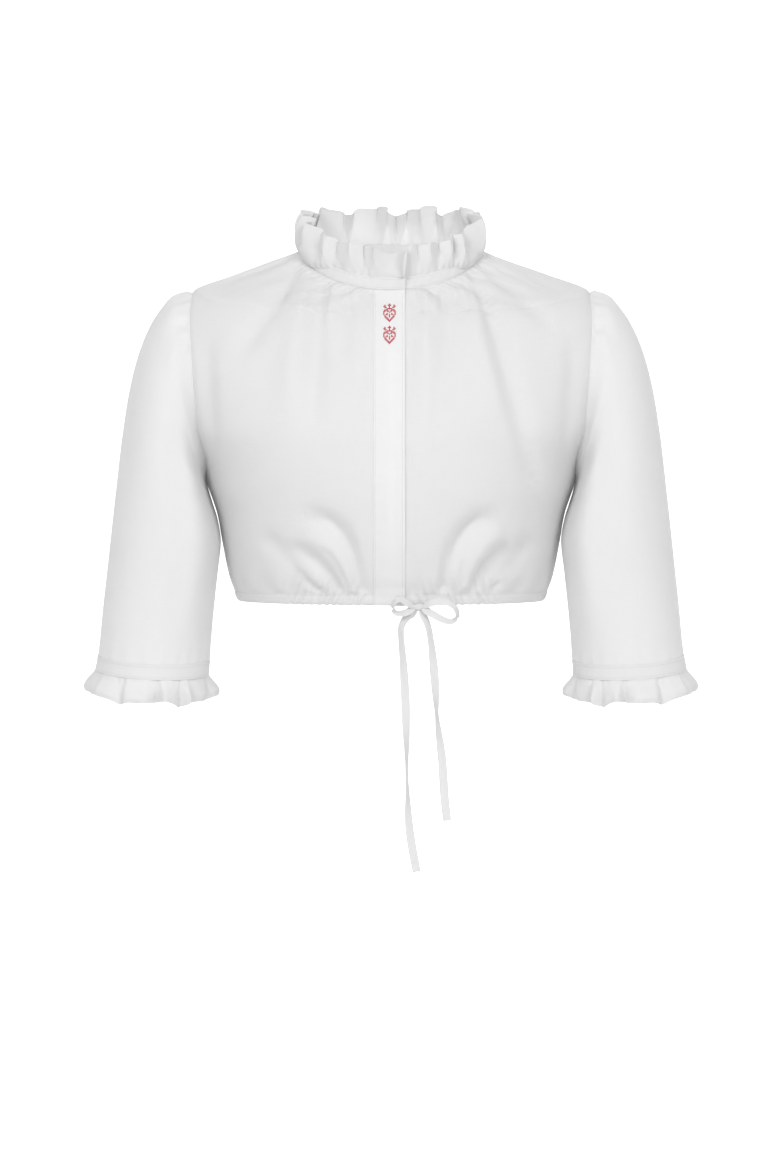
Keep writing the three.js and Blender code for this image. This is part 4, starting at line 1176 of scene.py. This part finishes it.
# Stitches: each is a short edge on the cloth, which a node tree turns into a thread
thread = {
    "length": 2.3, "gap": 0.4, "radius": 0.13, "rise": 0.16, "clearance": 0.02,
    "placketInsets": (1.6, 2.6), "bandHeights": (1.5, 9.3), "casingInset": 1.6, "cuffShares": (0.13, 0.85),
}
floss = {
    "pitch": 1.03, "reach": 0.46, "radius": 0.11, "rise": 0.28, "strandGap": 0.2, "clearance": 0.02,
    "x": -1.4, "centres": (-49.8, -69.8),
}

# the embroidery's chart: a sprig of three leaves over a small heart
heartChart = [
    ".....x.....",
    ".x..xxx..x.",
    "xx...x...xx",
    ".xx..x..xx.",
    "...xxxxx...",
    ".xxx...xxx.",
    "xx.xx.xx.xx",
    "x....x....x",
    "x..x...x..x",
    "x.xx.x.xx.x",
    ".x...x...x.",
    ".xx..x..xx.",
    "..xx...xx..",
    "...xx.xx...",
    "....xxx....",
    ".....x.....",
]


def threadTree():
    tree = bpy.data.node_groups.new("threads", "GeometryNodeTree")
    sockets = {"Geometry": "Geometry", "Radius": "Float", "Rise": "Float", "Steps": "Int", "Seed": "Int",
               "Material": "Material"}
    for name, kind in sockets.items():
        tree.interface.new_socket(name=name, in_out="INPUT", socket_type=f"NodeSocket{kind}")
    tree.interface.new_socket(name="Geometry", in_out="OUTPUT", socket_type="NodeSocketGeometry")
    given = addNode(tree, "NodeGroupInput").outputs
    curves = addNode(tree, "GeometryNodeMeshToCurve", {"Mesh": given["Geometry"]})
    curves = addNode(tree, "GeometryNodeResampleCurve", {
        "Curve": curves.outputs["Curve"], "Count": given["Steps"],
    })
    share = addNode(tree, "GeometryNodeSplineParameter").outputs["Factor"]
    arch = reckon(tree, "SINE", reckon(tree, "MULTIPLY", share, math.pi))
    height = reckon(tree, "MULTIPLY", arch, given["Rise"])
    outward = addNode(tree, "GeometryNodeInputNamedAttribute", {
        "Name": "outward",
    }, data_type="FLOAT_VECTOR")
    offset = addNode(tree, "ShaderNodeVectorMath", {
        0: outward.outputs["Attribute"], "Scale": height,
    }, operation="SCALE")
    moved = addNode(tree, "GeometryNodeSetPosition", {
        "Geometry": curves.outputs["Curve"], "Offset": offset.outputs["Vector"],
    })
    thickness = addNode(tree, "FunctionNodeRandomValue", {
        2: 0.85, 3: 1.15, "Seed": given["Seed"],
    }, data_type="FLOAT")
    varied = addNode(tree, "GeometryNodeSetCurveRadius", {
        "Curve": moved.outputs["Geometry"], "Radius": thickness.outputs[1],
    })
    ring = addNode(tree, "GeometryNodeCurvePrimitiveCircle", {"Resolution": 6, "Radius": given["Radius"]})
    tube = addNode(tree, "GeometryNodeCurveToMesh", {
        "Curve": varied.outputs["Curve"], "Profile Curve": ring.outputs["Curve"], "Fill Caps": True,
    })
    real = addNode(tree, "GeometryNodeRealizeInstances", {"Geometry": tube.outputs["Mesh"]})
    coloured = addNode(tree, "GeometryNodeSetMaterial", {
        "Geometry": real.outputs["Geometry"], "Material": given["Material"],
    })
    smooth = addNode(tree, "GeometryNodeSetShadeSmooth", {"Geometry": coloured.outputs["Geometry"]})
    addNode(tree, "NodeGroupOutput", {"Geometry": smooth.outputs["Geometry"]})
    return tree


threads = threadTree()


def makeThreads(name, ends, outward, settings, seed, material):
    # ends holds pairs of points in millimetres, and outward the cloth's normal at each
    mesh = bpy.data.meshes.new(name + "_rows")
    pairs = np.arange(len(ends)).reshape(-1, 2)
    mesh.from_pydata((ends * mm).tolist(), pairs.tolist(), [])
    layer = mesh.attributes.new("outward", "FLOAT_VECTOR", "POINT")
    layer.data.foreach_set("vector", outward.astype(np.float32).ravel())
    rows = bpy.data.objects.new(name + "_rows", mesh)
    bpy.context.scene.collection.objects.link(rows)
    nodes = rows.modifiers.new("threads", "NODES")
    nodes.node_group = threads
    wanted = {
        "Radius": settings["radius"] * mm, "Rise": settings["rise"] * mm,
        "Steps": 6, "Seed": seed, "Material": material,
    }
    for socket in threads.interface.items_tree:
        if socket.in_out == "INPUT" and socket.name in wanted:
            nodes[socket.identifier] = wanted[socket.name]
    bpy.context.view_layer.update()
    shown = rows.evaluated_get(bpy.context.evaluated_depsgraph_get())
    made = bpy.data.objects.new(name, bpy.data.meshes.new_from_object(shown))
    bpy.context.scene.collection.objects.link(made)
    bpy.data.objects.remove(rows)
    finishPiece(made)
    return made


def stitchesAlong(line, normals):
    # pairs of ends along a line of points
    along = lengthAlong(line)
    pitch = thread["length"] + thread["gap"]
    first = np.arange(int(along[-1] / pitch)) * pitch + thread["gap"] / 2
    at = np.stack([first, first + thread["length"]], axis=1).ravel()
    places = np.stack([np.interp(at, along, line[:, c]) for c in range(3)], axis=1)
    outward = unit(np.stack([np.interp(at, along, normals[:, c]) for c in range(3)], axis=1))
    return places, outward


def lineOn(pointAt, u, v, stepU, stepV, flip=1):
    # a line of points on a surface, with its normals
    return pointAt(u, v), surfaceNormal(pointAt, u, v, stepU, stepV) * flip


def placketFace(x, side):
    return placketPoint(x, side, 1)


def makeBodyStitches():
    rows = []
    heights = spread(-317, 3, 300)
    leftInset, rightInset = thread["placketInsets"]
    for x in (placket["left"] + leftInset, placket["right"] - rightInset):
        rows.append(lineOn(placketFace, np.full_like(heights, x), heights, 0.2, 0.3))
    around = spread(neckband["start"] + 0.02, neckband["end"] - 0.13, 1200)
    for height in thread["bandHeights"]:
        rows.append(lineOn(bandPoint, around, np.full_like(around, height), 0.004, 0.3, -1))
    turns = spread(0.11, 0.995, 900)
    for face in (-1, 1):
        for sign in (1, -1):
            height = np.full_like(turns, body["casingTop"] - thread["casingInset"])
            line, normal = lineOn(lambda a, b: casingPoint(face, a, b, 1), sign * turns, height, 0.001, 0.3)
            rows.append((line, normal * -face))
    made = [stitchesAlong(line, normal) for line, normal in rows]
    ends, outward = (np.concatenate(parts) for parts in zip(*made))
    ends = ends + outward * thread["clearance"]
    makeThreads("body_stitches", ends, outward, thread, 3, whiteThread)


def makeCuffStitches(sideName, arm):
    around = spread(0, 2 * np.pi, 900)
    made = []
    for along in thread["cuffShares"]:
        ring = np.full_like(around, sleeve["lastRing"] + along)
        line, normal = plainSleeve(around, ring), sleeveNormal(around, ring - 0.15)
        line = line + normal * (cuffBand["lift"] + thread["clearance"])
        made.append(stitchesAlong(forArm(line, arm), forArm(normal, arm)))
    ends, outward = (np.concatenate(parts) for parts in zip(*made))
    makeThreads(f"cuff_stitches_{sideName}", ends, outward, thread, 5, whiteThread)


def makeEmbroidery():
    sides = spread(-150, 7, 300)
    heights = plainBody(-1, np.zeros_like(sides), sides)[:, 2]
    corners = []
    pitch, gap = floss["pitch"], floss["strandGap"] / 2
    half = pitch * floss["reach"]
    middleColumn, middleRow = (len(heartChart[0]) - 1) / 2, (len(heartChart) - 1) / 2
    for centre in floss["centres"]:
        for row, cells in enumerate(heartChart):
            for column, cell in enumerate(cells):
                if cell != "x":
                    continue
                x = floss["x"] + (column - middleColumn) * pitch
                z = centre + (middleRow - row) * pitch
                for slope in (1, -1):
                    for strand in (-gap, gap):
                        for end in (-half, half):
                            corners.append((x + end + strand, z + end * slope - strand * slope))
    corners = np.array(corners)
    side = np.interp(corners[:, 1], heights, sides)
    line, normal = lineOn(placketFace, corners[:, 0], side, 0.2, 0.3)
    line = line + normal * floss["clearance"]
    makeThreads("embroidery_hearts", line, normal, floss, 9, redThread)


makeBodyStitches()
for sideName, arm in (("left", 1), ("right", -1)):
    makeCuffStitches(sideName, arm)
makeEmbroidery()
print("stitches made")


# Stage and light
stage = {
    "floorHeight": -1.3,
    "wallBehind": 1.8,
    "halfWidth": 3.2,
    "front": -3.0,
    "bend": 0.35,
    "wallTop": 2.2,
    "glow": 0.75,
    "worldStrength": 0.65,
}
lights = {
    "key": {"size": 1.2, "power": 52, "place": (-1.6, -3.0, 1.5)},
    "fill": {"size": 1.2, "power": 48, "place": (1.75, -3.0, 1.4)},
}
lightAim = (0, 0, -0.2)


def makeStage():
    arc = np.linspace(0, np.pi / 2, 24)
    bend, wall, floor = stage["bend"], stage["wallBehind"], stage["floorHeight"]
    y = np.concatenate([[stage["front"]], wall - bend + bend * np.sin(arc), [wall]])
    z = np.concatenate([[floor], floor + bend - bend * np.cos(arc), [stage["wallTop"]]])
    left = points(-stage["halfWidth"], y, z)
    right = points(stage["halfWidth"], y, z)
    vertices = np.concatenate([left, right])
    k = np.arange(len(y) - 1)
    faces = np.stack([k, k + len(y), k + 1 + len(y), k + 1], 1)
    material = bpy.data.materials.new("studio paper")
    material.use_nodes = True
    shader = material.node_tree.nodes["Principled BSDF"]
    shader.inputs["Base Color"].default_value = (0.82, 0.82, 0.82, 1)
    shader.inputs["Roughness"].default_value = 0.9
    # the wall behind glows, and the floor doesn't, so that less light comes from below
    tree = material.node_tree
    where = addNode(tree, "ShaderNodeTexCoord").outputs["Object"]
    place = addNode(tree, "ShaderNodeSeparateXYZ", {0: where})
    glow = addNode(tree, "ShaderNodeMapRange", {
        "Value": place.outputs["Z"], "From Min": -1.25, "From Max": -1.0,
        "To Min": 0.0, "To Max": stage["glow"],
    })
    shader.inputs["Emission Color"].default_value = (1, 1, 1, 1)
    tree.links.new(glow.outputs["Result"], shader.inputs["Emission Strength"])
    # the paper is clear from behind, so that the blouse shows from every side
    clear = addNode(tree, "ShaderNodeBsdfTransparent")
    behind = addNode(tree, "ShaderNodeNewGeometry").outputs["Backfacing"]
    oneSided = addNode(tree, "ShaderNodeMixShader", {
        0: behind, 1: shader.outputs["BSDF"], 2: clear.outputs["BSDF"],
    })
    tree.links.new(oneSided.outputs["Shader"], tree.nodes["Material Output"].inputs["Surface"])
    meshObject("studio_paper", vertices, faces, material)


def makeLight(name, setup):
    data = bpy.data.lights.new(name, "AREA")
    data.shape = "RECTANGLE"
    data.size = data.size_y = setup["size"]
    data.energy = setup["power"]
    light = bpy.data.objects.new(name, data)
    light.location = setup["place"]
    light.rotation_euler = (Vector(lightAim) - light.location).to_track_quat("-Z", "Y").to_euler()
    bpy.context.scene.collection.objects.link(light)


def makeWorld(strength):
    world = bpy.data.worlds.new("studio")
    world.use_nodes = True
    background = world.node_tree.nodes["Background"]
    background.inputs["Color"].default_value = (1, 1, 1, 1)
    background.inputs["Strength"].default_value = strength
    bpy.context.scene.world = world


makeStage()
makeWorld(stage["worldStrength"])
for name, setup in lights.items():
    makeLight(name, setup)
bpy.context.scene.view_settings.view_transform = "Standard"
print("stage made")
